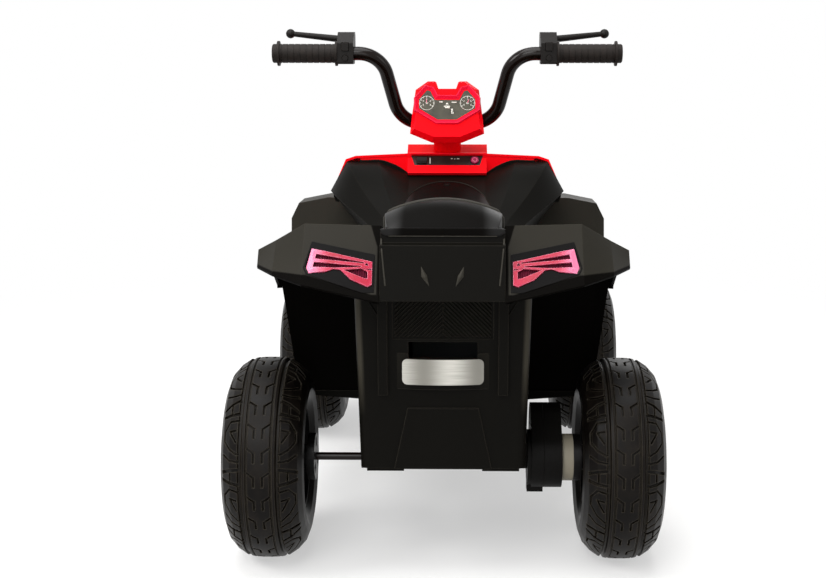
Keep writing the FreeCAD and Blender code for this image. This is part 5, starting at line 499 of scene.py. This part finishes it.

# %% [markdown]
# ## Lamps, board and print
# The tail lamps are red polycarbonate. Their edges, which the bevel normal finds, are painted
# pale pink as a painted highlight, and the outer end is painted paler still, as a painted
# reflection of the light from the side.

# %% Tail lamp finish
LAMP_HAZE_MM = 9
LAMP_PAINTED_REFLECTION_MM = (104, 127)
LAMP_EDGE_MM = 1.0
LAMP_EDGE_TURN = (0.985, 0.8)
lamp_pc, tree, shader, spot = start_material("polycarbonate_lamp_red")
haze = add(tree, "TexNoise", {"Vector": spot, "Scale": per_mm(LAMP_HAZE_MM), "Detail": 3.0})
# Painted highlight on the edges of the lens frame.
edge_highlight_and_wear = edge_share(tree, LAMP_EDGE_MM, LAMP_EDGE_TURN, samples=6)[1]
tint = add(tree, "Mix", {0: haze.outputs["Fac"], 6: "#860a1a", 7: "#b02848"}, data_type="RGBA")
# Painted reflection: glow blends the outer end of each lamp toward pale pink.
outward = sideways(tree, spot)
glow = add(tree, "MapRange", {"Value": outward, "From Min": LAMP_PAINTED_REFLECTION_MM[0] * MM, "To Max": 0.8,
                              "From Max": LAMP_PAINTED_REFLECTION_MM[1] * MM}, interpolation_type="SMOOTHSTEP")
painted_end_reflection = add(tree, "Mix", {0: glow.outputs[0], 6: tint.outputs[2], 7: "#e07fa4"}, data_type="RGBA")
edge = add(tree, "Mix", {0: edge_highlight_and_wear, 6: painted_end_reflection.outputs[2], 7: "#f0a6c4"}, data_type="RGBA")
fill(tree, shader, {"Base Color": edge.outputs[2], "Roughness": 0.16, "IOR": 1.58,
                    "Specular IOR Level": 0.15})
print("tail lamp finish:", lamp_pc.name)

# %% [markdown]
# The head lamps are clear polycarbonate with upright flutes, which a wave pattern draws.

# %% Head lamp finish
FLUTE_PITCH_MM = 5.9218
lamp_clear, tree, shader, spot = start_material("polycarbonate_lamp_clear")
flute = add(tree, "TexWave", {"Vector": spot, "Scale": wave_scale(FLUTE_PITCH_MM)}, bands_direction="X")
tint = add(tree, "Mix", {0: flute.outputs["Fac"], 6: "#b9c0c6", 7: "#eef1f3"}, data_type="RGBA")
bump = add(tree, "Bump", {"Height": flute.outputs["Fac"], "Strength": 0.5, "Distance": 0.5 * MM})
fill(tree, shader, {"Base Color": tint.outputs[2], "Normal": bump.outputs[0], "Roughness": 0.12, "IOR": 1.58})
print("head lamp finish:", lamp_clear.name)


# %% [markdown]
# The lamps' unlit reflectors, the glass-epoxy board, the printed films, the power button's
# acrylic and the inks are smooth and only slightly uneven in colour, so one function makes
# them all.

# %% Board and print finishes
def mottled(name, dark, light, grain_mm, roughness, specular):
    """Plain finish whose colour wanders between two values at the scale of its grain."""
    made, tree, shader, spot = start_material(name)
    speck = add(tree, "TexNoise", {"Vector": spot, "Scale": per_mm(grain_mm), "Detail": 2.0})
    tint = add(tree, "Mix", {0: speck.outputs["Fac"], 6: dark, 7: light}, data_type="RGBA")
    fill(tree, shader, {"Base Color": tint.outputs[2], "Roughness": roughness,
                        "Specular IOR Level": specular})
    return made


lamp_dark = mottled("polycarbonate_lamp_unlit", "#22080f", "#74243a", 3, 0.3, 0.12)
board_fr4 = mottled("glass_epoxy_board_green", "#0d3b22", "#1a5a35", 1.5, 0.3, 0.4)
panel_ink = mottled("printed_film_dark", "#150d0c", "#2b1f1c", 12, 0.25, 0.12)
dial_ink = mottled("printed_film_dial", "#2a2821", "#4d4a3e", 10, 0.28, 0.14)
power_acrylic = mottled("acrylic_power_button", "#6e0d33", "#a81d50", 3, 0.25, 0.2)
pale_ink = mottled("printed_ink_pale", "#c9c6bb", "#f2f0e8", 0.8, 0.4, 0.3)
warm_ink = mottled("printed_ink_red", "#c2384f", "#f08aa5", 0.8, 0.35, 0.3)
print("materials:", len(bpy.data.materials))

# %% [markdown]
# ## Dress the solids
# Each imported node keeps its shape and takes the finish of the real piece.

# %% Assign finishes
finishes = {
    wing_pp: ["front_fender_left", "front_fender_right"],
    tail_pp: ["rear_body"],
    tub_pp: ["lower_body"],
    black_pp: ["tank_cover", "front_bumper", "tail_panel"],
    seat_pp: ["seat"],
    red_pp: ["hood", "binnacle"],
    power_acrylic: ["power_button"],
    control_pp: ["control_housings", "brake_lever_left", "brake_lever_right", "upper_button_left",
                 "upper_button_right", "lower_button_left", "lower_button_right", "foot_pedal",
                 "direction_switch", "speaker", "charge_socket", "pedal_switch"],
    gearbox_pp: ["gearbox_inner", "gearbox_outer"],
    rim_pp: [n for n in nodes if n.startswith("rim_")],
    cap_pp: [n for n in nodes if n.startswith("hub_cap_")],
    tyre_pe: [n for n in nodes if n.startswith("tyre_")],
    nylon: ["drive_gear", "reduction_gear", "column_bushes"],
    battery_abs: ["battery"],
    grip_pvc: ["grips"],
    steel: ["axle_nuts", "stub_nut_left", "stub_nut_right", "knuckle_left", "knuckle_right", "tie_rod",
            "steering_column", "motor", "motor_pinion"],
    hole_shade_steel: ["body_screws"],
    bar_enamel: ["handlebar", "rear_axle"],
    plate_foil: ["rear_plate"],
    lamp_pc: ["tail_lamps"],
    lamp_clear: ["headlamps"],
    board_fr4: ["control_board"],
    panel_ink: ["dash_panel"],
    dial_ink: ["instrument_panel"],
}
dressed = 0
for finish, names in finishes.items():
    for name in names:
        slots = nodes[name].data.materials
        slots.clear()
        slots.append(finish)
        dressed += 1
print("dressed", dressed, "of", len(nodes))


# %% [markdown]
# ## Helpers for thin pieces
# A detail has to sit on the piece that carries it, so its place is found with a ray: a line
# is sent at the solid and the hit point gives the depth. Pieces are made from plain lists of
# points and faces, and each one rides on the body that carries it. Fine lines, such as
# printed ticks and moulded beads, are curves with a round section, turned to meshes.

# %% Ray and piece helpers
surfaces = {}
RAY_ROOM = 0.1
PAST_THE_REAR = cad_box[0][1] - RAY_ROOM
FORWARD = Vector((0, 1, 0))


def touch(node, start, heading):
    """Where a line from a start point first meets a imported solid."""
    if node not in surfaces:
        mesh = nodes[node].data
        places = [v.co for v in mesh.vertices]
        surfaces[node] = BVHTree.FromPolygons(places, [p.vertices for p in mesh.polygons])
    return surfaces[node].ray_cast(Vector(start), Vector(heading))[0]


def from_behind(node, x, z):
    """Point of a solid's rear face, seen straight from behind."""
    return touch(node, (x, PAST_THE_REAR, z), FORWARD)


def make_piece(name, mesh, finish, body):
    """Object of a mesh, with its finish, riding on a body."""
    mesh.materials.clear()
    mesh.materials.append(finish)
    piece = bpy.data.objects.new(name, mesh)
    bpy.context.scene.collection.objects.link(piece)
    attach(piece, body)
    return piece


def mesh_piece(name, points, faces, finish, body):
    """Piece made from lists of points and faces."""
    mesh = bpy.data.meshes.new(name)
    mesh.from_pydata(points, [], faces)
    mesh.update()
    return make_piece(name, mesh, finish, body)


def curve_mesh(name, paths, closed, **settings):
    """Mesh of a curve drawn through straight paths, with the curve's own settings."""
    data = bpy.data.curves.new(name, "CURVE")
    for key, value in settings.items():
        setattr(data, key, value)
    for path in paths:
        spline = data.splines.new("POLY")
        spline.points.add(len(path) - 1)
        for point, place in zip(spline.points, path):
            point.co = (*place, 1)
        spline.use_cyclic_u = closed
    holder = bpy.data.objects.new(name + "_path", data)
    mesh = bpy.data.meshes.new_from_object(holder)
    bpy.data.objects.remove(holder)
    bpy.data.curves.remove(data)
    return mesh


def beads(name, paths, width_mm, finish, body, closed=False):
    """Fine raised lines, each a round bead half sunk in what carries it."""
    mesh = curve_mesh(name, paths, closed, dimensions="3D", bevel_depth=width_mm / 2 * MM,
                      bevel_resolution=1, use_fill_caps=True)
    return make_piece(name, mesh, finish, body)


print("rear of the model at", round(cad_box[0][1], 4))

# %% [markdown]
# ## Tail lamps
# Each lamp is a red lens frame with tapering dark windows, a ribbed reflector behind them,
# and a gloss black bezel round it. The lens face is slightly twisted, so it is measured with
# four rays and written as y = a + bx + cz + dxz. Outlines with holes are drawn flat, as a
# filled curve does it best, and each point is then laid on that face.

# %% Lamp face
low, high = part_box("tail_lamps")
LENS_WIDTH = 62 * MM
LAMP_HIGH_X = high[0]
LAMP_LOW_X = LAMP_HIGH_X - LENS_WIDTH
LAMP_LOW_Z = low[2]
LENS_DROP = 0.9
LAMP_RISE = (high[2] - low[2]) * LENS_DROP
FACE_SAMPLE_SHARES = ((0.05, 0.60), (0.90, 0.92), (0.05, 0.15), (0.90, 0.50))


def lamp_xz(shares):
    """Place on the right lamp from shares of its width, outward, and of its height."""
    return LAMP_LOW_X + shares[0] * LENS_WIDTH, LAMP_LOW_Z + shares[1] * LAMP_RISE


samples = [from_behind("tail_lamps", *lamp_xz(shares)) for shares in FACE_SAMPLE_SHARES]
terms = Matrix([(1, p.x, p.z, p.x * p.z) for p in samples])
LAMP_FACE = terms.inverted() @ Vector([p.y for p in samples])


def on_lamp(x, z, out):
    """Point over the right lamp's face, at a height out of it."""
    a, b, c, d = LAMP_FACE
    normal = Vector((b + d * z, -1, c + d * x)).normalized()
    return Vector((x, a + b * x + c * z + d * x * z, z)) + normal * out


print("lamp face height at its middle:", round(on_lamp(*lamp_xz((0.5, 0.5)), 0).y, 4))

# %% [markdown]
# The outlines are given as shares of the lens, from its inner end outward and from its
# lowest point up. The outer end of the frame is bent back, so that it catches the light
# from the side.

# %% Lamp frames and bezels
LENS_SHARES = ((0.00, 0.64), (0.92, 0.985), (1.00, 0.47), (0.95, 0.36), (0.69, 0.39), (0.58, 0.455),
               (0.48, 0.44), (0.32, 0.19), (0.07, 0.00), (0.00, 0.05))
WINDOW_SHARES = (
    ((0.845, 0.838), (0.858, 0.715), (0.125, 0.600), (0.125, 0.622)),
    ((0.875, 0.635), (0.888, 0.508), (0.550, 0.484), (0.170, 0.508), (0.170, 0.526)),
    ((0.425, 0.430), (0.160, 0.466), (0.070, 0.380), (0.070, 0.205), (0.116, 0.216)),
    ((0.078, 0.610), (0.112, 0.552), (0.060, 0.535)),
    ((0.150, 0.484), (0.012, 0.452), (0.012, 0.420), (0.105, 0.440)),
)
BEZEL_SHARES = ((-0.035, 0.84), (0.925, 1.17), (1.035, 0.50), (0.990, 0.34), (0.140, -0.14), (-0.035, -0.14))
FRAME_HALF = 1.1 * MM
FRAME_ROUND = 0.35 * MM
FRAME_PROUD = 0.9 * MM
END_SHARE = 0.88
END_SLOPE = 0.45
BEZEL_HALF = 0.25 * MM
BEZEL_ROUND = 0.15 * MM
BEZEL_GAP_SHARE = 0.012
LENS_MIDDLE = (0.5, 0.45)
PLATE_CUTS = 3


def lamp_plate(name, rings, half, round_off, proud, end_slope, finish):
    """Flat plate with holes, laid on both lamps' faces."""
    flat = curve_mesh(name, [[(*lamp_xz(shares), 0) for shares in ring] for ring in rings], True,
                      dimensions="2D", fill_mode="BOTH", extrude=half - round_off, bevel_depth=round_off,
                      bevel_resolution=1, offset=-round_off)
    fine = bmesh.new()
    fine.from_mesh(flat)
    bmesh.ops.subdivide_edges(fine, edges=fine.edges[:], cuts=PLATE_CUTS, use_grid_fill=True)
    fine.to_mesh(flat)
    fine.free()
    points = []
    end_x = lamp_xz((END_SHARE, 0))[0]
    for vertex in flat.vertices:
        x, z, out = vertex.co
        bent = max(0, x - end_x) * end_slope
        points.append(on_lamp(x, z, proud + out - bent))
    faces = [tuple(polygon.vertices) for polygon in flat.polygons]
    bpy.data.meshes.remove(flat)
    count = len(points)
    points += [Vector((-p.x, p.y, p.z)) for p in points]
    faces += [tuple(index + count for index in reversed(face)) for face in faces]
    return mesh_piece(name, points, faces, finish, "chassis")


frames = lamp_plate("tail_lamp_frames", [LENS_SHARES, *WINDOW_SHARES], FRAME_HALF, FRAME_ROUND, FRAME_PROUD,
                    END_SLOPE, lamp_pc)
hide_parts("tail_lamps")
grown = []
for place in LENS_SHARES:
    grown.append([s + math.copysign(BEZEL_GAP_SHARE, s - middle) for s, middle in zip(place, LENS_MIDDLE)])
bezels = lamp_plate("tail_lamp_bezels", [BEZEL_SHARES, grown], BEZEL_HALF, BEZEL_ROUND, BEZEL_HALF, 0,
                    bezel_pp)
print("lamp frame faces:", len(frames.data.polygons), "bezel faces:", len(bezels.data.polygons))

# %% [markdown]
# The reflector behind the windows is a sheet pressed into upright ribs: a zigzag between a
# low and a high line of the lens outline. Such a sheet is a strip of faces between pairs of
# points, and a modifier gives it its thickness.

# %% Lamp reflectors
RIB_PITCH = 2.2 * MM
RIB_VALLEY = -1.9 * MM
RIB_CREST = -0.7 * MM
REFLECTOR_INSET_SHARE = 0.04
REFLECTOR_SPAN_SHARE = 1 - 2 * REFLECTOR_INSET_SHARE
REFLECTOR_THICKNESS = 0.5 * MM


def outline_span(shares, x_share):
    """Lowest and highest share of a closed outline at a place along it."""
    crossings = []
    for (x0, z0), (x1, z1) in zip(shares, shares[1:] + shares[:1]):
        if x0 != x1 and min(x0, x1) <= x_share <= max(x0, x1):
            crossings.append(z0 + (z1 - z0) * (x_share - x0) / (x1 - x0))
    return min(crossings), max(crossings)


def moved_faces(faces, first, side):
    """Faces for points that start at a later index, turned over on the mirrored side."""
    return [tuple(first + index for index in (face if side > 0 else face[::-1])) for face in faces]


def strip_faces(first, count, side):
    """Faces of a strip between pairs of points."""
    return moved_faces([(i, i + 2, i + 3, i + 1) for i in range(0, count * 2, 2)], first, side)


def thicken(piece, thickness):
    """Make a sheet solid, inward from its face."""
    sheet = piece.modifiers.new("sheet", "SOLIDIFY")
    sheet.thickness = thickness
    sheet.offset = -1


rib_count = round(LENS_WIDTH * REFLECTOR_SPAN_SHARE / RIB_PITCH) * 2
points, faces = [], []
for side in (1, -1):
    faces += strip_faces(len(points), rib_count, side)
    for index in range(rib_count + 1):
        out = RIB_CREST if index % 2 else RIB_VALLEY
        x_share = REFLECTOR_INSET_SHARE + REFLECTOR_SPAN_SHARE * index / rib_count
        for z_share in outline_span(LENS_SHARES, x_share):
            place = on_lamp(*lamp_xz((x_share, z_share)), out)
            points.append(Vector((side * place.x, place.y, place.z)))
thicken(mesh_piece("tail_lamp_reflectors", points, faces, lamp_dark, "chassis"), REFLECTOR_THICKNESS)
print("reflector ribs a side:", rib_count // 2)

# %% [markdown]
# ## Ribbed recess
# The recess above the plate has a herringbone of slanted ribs, moulded in. Each half is a
# row of triangular ribs: base, crest and base lines are cut to the recess's edges, and the
# three cut lines make one closed prism.

# %% Recess ribs
RECESS_HALF = 46 * MM
RECESS_LOW = 248.5 * MM
RECESS_HIGH = 284.5 * MM
SLANT_PITCH = 4.2 * MM
SLANT_SHARES = (0, 0.5, 0.95)
SLANT_LIFTS = (-0.2 * MM, 1.0 * MM, -0.2 * MM)
SLANT_STOP = -1.5 * SLANT_PITCH
PRISM = ((0, 1, 3, 2), (2, 3, 5, 4), (4, 5, 1, 0), (0, 2, 4), (1, 5, 3))


def cut_line(start, low, high):
    """Ends of a line at 45 degrees, through (start, low z), kept inside a box of the recess."""
    first = max(low[0], start)
    last = min(high[0], start + high[1] - low[1])
    return (first, low[1] + first - start), (last, low[1] + last - start)


floor_y = from_behind("lower_body", -RECESS_HALF / 2, (RECESS_LOW + RECESS_HIGH) / 2).y
points, faces = [], []
start = -RECESS_HALF - (RECESS_HIGH - RECESS_LOW) + SLANT_PITCH
while start < SLANT_STOP:
    slants = []
    for share in SLANT_SHARES:
        slants.append(cut_line(start + share * SLANT_PITCH, (-RECESS_HALF, RECESS_LOW), (0, RECESS_HIGH)))
    for side in (1, -1):
        faces += moved_faces(PRISM, len(points), side)
        for slant, lift in zip(slants, SLANT_LIFTS):
            points += [Vector((side * x, floor_y - lift, z)) for x, z in slant]
    start += SLANT_PITCH
mesh_piece("recess_ribs", points, faces, black_pp, "chassis")
print("recess ribs:", len(faces) // len(PRISM))

# %% [markdown]
# ## Ridges on the tail panel
# Two slim blades stand on the tail panel. Each is a four-sided spike: a top and a low point
# on the panel, two side points, and a ridge between them that stands proud.

# %% Panel ridges
BLADE_TOP = (-20.0 * MM, 324 * MM)
BLADE_LOW = (-11.8 * MM, 304.5 * MM)
BLADE_SIDES = ((-19.6 * MM, 314 * MM), (-14.0 * MM, 315 * MM))
BLADE_PROUD = 3.0 * MM
BLADE_SINK = 0.2 * MM
BLADE_FACES = ((0, 1, 4), (1, 2, 4), (2, 3, 4), (3, 0, 4), (3, 2, 1, 0))
points, faces = [], []
for side in (1, -1):
    base = len(points)
    faces += moved_faces(BLADE_FACES, base, side)
    for x, z in (BLADE_TOP, BLADE_SIDES[0], BLADE_LOW, BLADE_SIDES[1]):
        points.append(from_behind("tail_panel", side * x, z) + FORWARD * BLADE_SINK)
    middle = (points[base] + points[base + 2]) / 2
    points.append(Vector((middle.x, middle.y - BLADE_PROUD, middle.z)))
# Painted highlight: the blades are in the paler trim grey.
mesh_piece("tail_panel_ridges", points, faces, trim_highlight_pp, "chassis")
print("panel ridges:", len(faces) // len(BLADE_FACES))

# %% [markdown]
# ## Beads on the corner posts
# The posts below the wings have a moulded bead that runs down and inward. Its path is a
# straight line as seen from behind, laid on the post point by point with rays.

# %% Post beads
POST_BEAD_TOP = (-73, 287)
POST_BEAD_LOW = (-62.5, 270)
POST_BEAD_STEPS = 8
POST_BEAD_WIDTH = 2.2


def laid_lines(node, top, low, steps):
    """Straight lines between two places in millimetres, laid on a solid's rear, one a side."""
    lines = []
    for side in (1, -1):
        line = []
        for step in range(steps + 1):
            x, z = [a + step / steps * (b - a) for a, b in zip(top, low)]
            line.append(from_behind(node, side * x * MM, z * MM))
        lines.append(line)
    return lines


post_lines = laid_lines("lower_body", POST_BEAD_TOP, POST_BEAD_LOW, POST_BEAD_STEPS)
beads("post_beads", post_lines, POST_BEAD_WIDTH, black_pp, "chassis")
print("post beads:", len(post_lines))

# %% [markdown]
# ## Hood skirts, tank lips and seat apron
# Beside the dash the hood's rear edge turns down in a sheet that widens toward the middle,
# and the tank's cover rises to meet it in a soft S. Both are thin upright sheets between two
# lines of heights, given in millimetres; so are the tank's lower corners and the apron of
# the seat, which laps over the tail panel.

# %% Upright sheets
SKIRT_ACROSS = (-104, -97, -90, -85, -80, -76, -71.5, -67, -62, -57.7, -53, -48.6, -43)
SKIRT_TOP = (382.8, 383.0, 383.3, 383.6, 383.8, 384, 384.3, 384.5, 384.8, 385, 385.2, 385.5, 385.8)
SKIRT_LAP = 1.5
MEETING_LINE = (380.0, 379.9, 380.2, 380.4, 380.2, 379.6, 378.2, 376.4, 374.4, 372.2, 369.2, 365.9, 363.2)
LIP_FOOT = (376.6, 376.6, 376.6, 376.6, 376.0, 374.3, 372.5, 370.6, 368.6, 366.8, 364.9, 363.1, 360.9)
SKIRT_Y = 54.4
LIP_Y = 52.6
CORNER_ACROSS = (-136.6, -134.0, -130.0)
CORNER_LOW = (336.0, 329.5, 329.5)
CORNER_HIGH = (341.0, 341.0, 341.0)
CORNER_Y = 53.4
APRON_ACROSS = (-57.6, -53, -40, 0)
APRON_LOW = (352.0, 349.2, 349.2, 349.2)
APRON_HIGH = (355.6, 356.6, 356.8, 356.8)
APRON_Y = -336.9
SHEET_THICKNESS = 1.2 * MM


def upright_sheets(name, y, across, lows, highs, finish):
    """A thin upright sheet between two lines of heights, once on each side."""
    points, faces = [], []
    for side in (1, -1):
        faces += strip_faces(len(points), len(across) - 1, side)
        for x, low, high in zip(across, lows, highs):
            points += [Vector((side * x, y, low)) * MM, Vector((side * x, y, high)) * MM]
    thicken(mesh_piece(name, points, faces, finish, "chassis"), SHEET_THICKNESS)


skirt_foot = [z - SKIRT_LAP for z in MEETING_LINE]
upright_sheets("hood_skirts", SKIRT_Y, SKIRT_ACROSS, skirt_foot, SKIRT_TOP, red_pp)
upright_sheets("tank_lips", LIP_Y, SKIRT_ACROSS, LIP_FOOT, MEETING_LINE, black_pp)
upright_sheets("tank_corners", CORNER_Y, CORNER_ACROSS, CORNER_LOW, CORNER_HIGH, black_pp)
upright_sheets("seat_apron", APRON_Y, APRON_ACROSS, APRON_LOW, APRON_HIGH, seat_pp)
print("skirt stations:", len(SKIRT_ACROSS))

# %% [markdown]
# ## Seat welt
# The crest of the seat carries a welt, and rays from the sides and from above find its path;
# its paler grey is a painted highlight. A fine pale bead along the lower edge of the apron is a
# painted highlight line.

# %% Seat welt
WELT_Y = -260 * MM
WELT_HEIGHTS = (336, 341, 346, 351, 355)
WELT_ACROSS = range(-52, 53, 4)
WELT_WIDTH = 4.6
RAY_BESIDE = 0.2
RAY_ABOVE = 0.5
HIGHLIGHT_LINE_HALF = 50
HIGHLIGHT_LINE_WIDTH = 0.9
left, top, right = [], [], []
for z in WELT_HEIGHTS:
    left.append(touch("seat", (-RAY_BESIDE, WELT_Y, z * MM), (1, 0, 0)))
    right.insert(0, touch("seat", (RAY_BESIDE, WELT_Y, z * MM), (-1, 0, 0)))
for x in WELT_ACROSS:
    top.append(touch("seat", (x * MM, WELT_Y, RAY_ABOVE), (0, 0, -1)))
beads("seat_welt", [left + top + right], WELT_WIDTH, trim_highlight_pp, "chassis")
highlight_line = [Vector((x, APRON_Y, APRON_LOW[1])) * MM for x in (-HIGHLIGHT_LINE_HALF, HIGHLIGHT_LINE_HALF)]
beads("seat_highlight_line", [highlight_line], HIGHLIGHT_LINE_WIDTH, trim_highlight_pp, "chassis")
print("welt points:", len(left + top + right), "crest at", round(top[len(top) // 2].z, 4))

# %% [markdown]
# A last pair of beads trims the tail panel beside the wings; their paler grey is a painted
# highlight along that edge.

# %% Panel trims
TRIM_TOP = (-56.8, 346.5)
TRIM_LOW = (-52.6, 306.0)
TRIM_STEPS = 10
TRIM_WIDTH = 1.6
trim_lines = laid_lines("tail_panel", TRIM_TOP, TRIM_LOW, TRIM_STEPS)
beads("panel_trims", trim_lines, TRIM_WIDTH, trim_highlight_pp, "chassis")
print("panel trims:", len(trim_lines))


# %% [markdown]
# ## Instruments
# The panel in the handlebar's housing is a printed film: two round dials with ticks, plain
# numbers and a needle, and a few bars between them. The plane of the film is read from the
# panel's own largest face, so that the print lies on it.

# %% Panel planes
LOOKING_BACK = -0.3
FACE_DEPTH = 0.05 * MM


def front_plane(node):
    """Middle, up direction and outward normal of a node's largest face that looks back."""
    mesh = nodes[node].data
    looking_back = [p for p in mesh.polygons if p.normal.y < LOOKING_BACK]
    normal = max(looking_back, key=lambda p: p.area).normal.normalized()
    up = normal.cross(Vector((1, 0, 0))).normalized()
    depth = max(v.co.dot(normal) for v in mesh.vertices)
    front = [v.co for v in mesh.vertices if depth - v.co.dot(normal) < FACE_DEPTH]
    rises = [p.dot(up) for p in front]
    middle = up * (min(rises) + max(rises)) / 2 + normal * depth
    return middle, up, normal


def on_plane(plane, x, rise):
    """Point of a panel from millimetres across and up."""
    middle, up, _ = plane
    return middle + Vector((x * MM, 0, 0)) + up * rise * MM


instrument_plane = front_plane("instrument_panel")
dash_plane = front_plane("dash_panel")
print("instrument film faces", [round(v, 2) for v in instrument_plane[2]])

# %% [markdown]
# The film sits in a raised visor with a sloping inner face. Its outline is grown from the
# film's corner by corner, and four such outlines at different heights make a closed ring.

# %% Dial visor
FILM_RIGHT_HALF = ((11.2, -18.4), (33.2, -4.4), (33.4, 7.0), (24.0, 18.4), (20.0, 17.3), (14.5, 6.3))
VISOR_STEPS = ((0.1, -0.8), (4.4, 2.8), (5.0, 2.8), (6.2, -0.4))
SHARPEST_CORNER = 0.4


def grow(outline, distance):
    """Closed outline, drawn anticlockwise, moved outward by a distance."""
    grown = []
    for index, corner in enumerate(outline):
        before = (corner - outline[index - 1]).normalized()
        after = (outline[(index + 1) % len(outline)] - corner).normalized()
        across = Vector((before.y, -before.x))
        out = (across + Vector((after.y, -after.x))).normalized()
        grown.append(corner + out * distance / max(SHARPEST_CORNER, out.dot(across)))
    return grown


film = [Vector(p) for p in FILM_RIGHT_HALF] + [Vector((-x, z)) for x, z in reversed(FILM_RIGHT_HALF)]
points, faces = [], []
for distance, height in VISOR_STEPS:
    lift = instrument_plane[2] * height * MM
    points += [on_plane(instrument_plane, *corner) + lift for corner in grow(film, distance)]
for step in range(len(VISOR_STEPS)):
    inner = step * len(film)
    outer = (step + 1) % len(VISOR_STEPS) * len(film)
    for index in range(len(film)):
        after = (index + 1) % len(film)
        faces.append((inner + index, outer + index, outer + after, inner + after))
# Painted sheen: the visor is in a pinker red than the binnacle.
mesh_piece("dial_visor", points, faces, visor_sheen_pp, "steering")
print("visor faces:", len(faces))

# %% [markdown]
# A dial is a ring with a hub, ticks over most of a turn, a number at each second tick and a
# needle. Numbers are drawn as segments, as on a simple display, because strokes of one width
# can be beads like the other lines.

# %% Print helpers
SEGMENTS = {"a": ((-0.5, 1), (0.5, 1)), "b": ((0.5, 1), (0.5, 0)), "c": ((0.5, 0), (0.5, -1)),
            "d": ((0.5, -1), (-0.5, -1)), "e": ((-0.5, -1), (-0.5, 0)), "f": ((-0.5, 0), (-0.5, 1)),
            "g": ((-0.5, 0), (0.5, 0))}
DIGIT_SEGMENTS = {0: "abcdef", 2: "abged", 4: "fgbc", 6: "afgedc", 8: "abcdefg"}


def around(x, rise, radius, angle):
    """Place at a distance and an angle from a middle, in millimetres."""
    return x + radius * math.cos(angle), rise + radius * math.sin(angle)


def circle(plane, x, rise, radius, count):
    """Points of a circle on a panel."""
    return [on_plane(plane, *around(x, rise, radius, math.tau * i / count)) for i in range(count)]


def panel_lines(plane, lines):
    """Lines on a panel, from their ends in millimetres across and up."""
    return [[on_plane(plane, *end) for end in line] for line in lines]


def digit(plane, number, x, rise, size):
    """Strokes of one number, drawn as display segments of a given half height."""
    strokes = [SEGMENTS[key] for key in DIGIT_SEGMENTS[number]]
    return panel_lines(plane, [[(x + px * size, rise + pz * size) for px, pz in ends] for ends in strokes])


print("numbers that can be drawn:", *DIGIT_SEGMENTS)

# %% [markdown]
# Both dials have the same print; only the needles differ. A line is given by its width, a
# ring by its radius and its number of points.

# %% Dials
DIAL_X = 24.1
DIAL_RISE = 2.4
DIAL_RADIUS = 8.7
DIAL_POINTS = 40
HUB_RING = (1.2, 12)
RING_LINE, TICK_LINE, NUMBER_LINE, NEEDLE_LINE = 0.45, 0.6, 0.32, 0.7
TICK_COUNT = 9
TICK_LENGTHS = (2.2, 1.5)
TICK_GAP = 0.4
NUMBER_INSET = 3.9
NUMBER_HALF = 0.75
NEEDLE_LENGTH = 5.2
NEEDLE_SHARES = (0.46, 0.58)
FIRST_ANGLE = 210
SWEEP = 240


def dial_angle(share):
    """Angle of a place on a dial's scale, from 0 to 1."""
    return math.radians(FIRST_ANGLE - SWEEP * share)


rings, ticks, digits, needles = [], [], [], []
for x, needle_share in zip((-DIAL_X, DIAL_X), NEEDLE_SHARES):
    rings.append(circle(instrument_plane, x, DIAL_RISE, DIAL_RADIUS, DIAL_POINTS))
    rings.append(circle(instrument_plane, x, DIAL_RISE, *HUB_RING))
    for index in range(TICK_COUNT):
        angle = dial_angle(index / (TICK_COUNT - 1))
        radii = (DIAL_RADIUS - TICK_LENGTHS[index % 2], DIAL_RADIUS - TICK_GAP)
        ticks.append([around(x, DIAL_RISE, radius, angle) for radius in radii])
        if index % 2 == 0:
            place = around(x, DIAL_RISE, DIAL_RADIUS - NUMBER_INSET, angle)
            digits += digit(instrument_plane, index, *place, NUMBER_HALF)
    needles.append([(x, DIAL_RISE), around(x, DIAL_RISE, NEEDLE_LENGTH, dial_angle(needle_share))])
beads("dial_rings", rings, RING_LINE, pale_ink, "steering", closed=True)
beads("dial_ticks", panel_lines(instrument_plane, ticks), TICK_LINE, pale_ink, "steering")
beads("dial_numbers", digits, NUMBER_LINE, pale_ink, "steering")
beads("dial_needles", panel_lines(instrument_plane, needles), NEEDLE_LINE, warm_ink, "steering")
print("dial ticks:", len(ticks), "number strokes:", len(digits))

# %% [markdown]
# Between the dials are a few bars and the number of a gear. The dash has pale marks beside
# its switches and a dark halo round the power button, and the button carries a ring of its
# own, which moves with it.

# %% Display bars and switch print
GEAR_PLACE = (6.2, -9.0)
GEAR_HALF = 1.9
POWER_X = 33.0
HALO_RING = (6.0, 32)
POWER_RING = (2.6, 24)
BAR_LINE, GEAR_LINE, MARK_LINE, HALO_LINE, POWER_LINE = 1.3, 0.7, 0.9, 0.8, 0.7
bars = [[(-9.5, 3.6), (-5.2, 3.6)], [(5.4, 3.3), (11.2, 3.3)], [(-4.0, -1.8), (3.4, -1.8)],
        [(-2.6, -3.6), (3.0, -3.6)], [(-1.2, 0.6), (0, 2.2)], [(0, 2.2), (1.2, 0.6)],
        [(4.8, -5.6), (6.8, -5.6)]]
marks = [[(-20.4, -4.4), (-20.4, 3.6)], [(4.6, 2.6), (6.4, 2.6)], [(8.6, 2.2), (9.6, 2.2)],
         [(11.6, 2.4), (14.6, 2.4)]]
beads("display_bars", panel_lines(instrument_plane, bars), BAR_LINE, pale_ink, "steering")
gear_number = digit(instrument_plane, 6, *GEAR_PLACE, GEAR_HALF)
beads("display_number", gear_number, GEAR_LINE, pale_ink, "steering")
beads("switch_marks", panel_lines(dash_plane, marks), MARK_LINE, pale_ink, "chassis")
halo = circle(dash_plane, POWER_X, 0, *HALO_RING)
beads("power_halo", [halo], HALO_LINE, control_pp, "chassis", closed=True)
ring = circle(front_plane("power_button"), POWER_X, 0, *POWER_RING)
beads("power_ring", [ring], POWER_LINE, warm_ink, "power_button", closed=True)
print("printed marks:", len(bars) + len(marks))
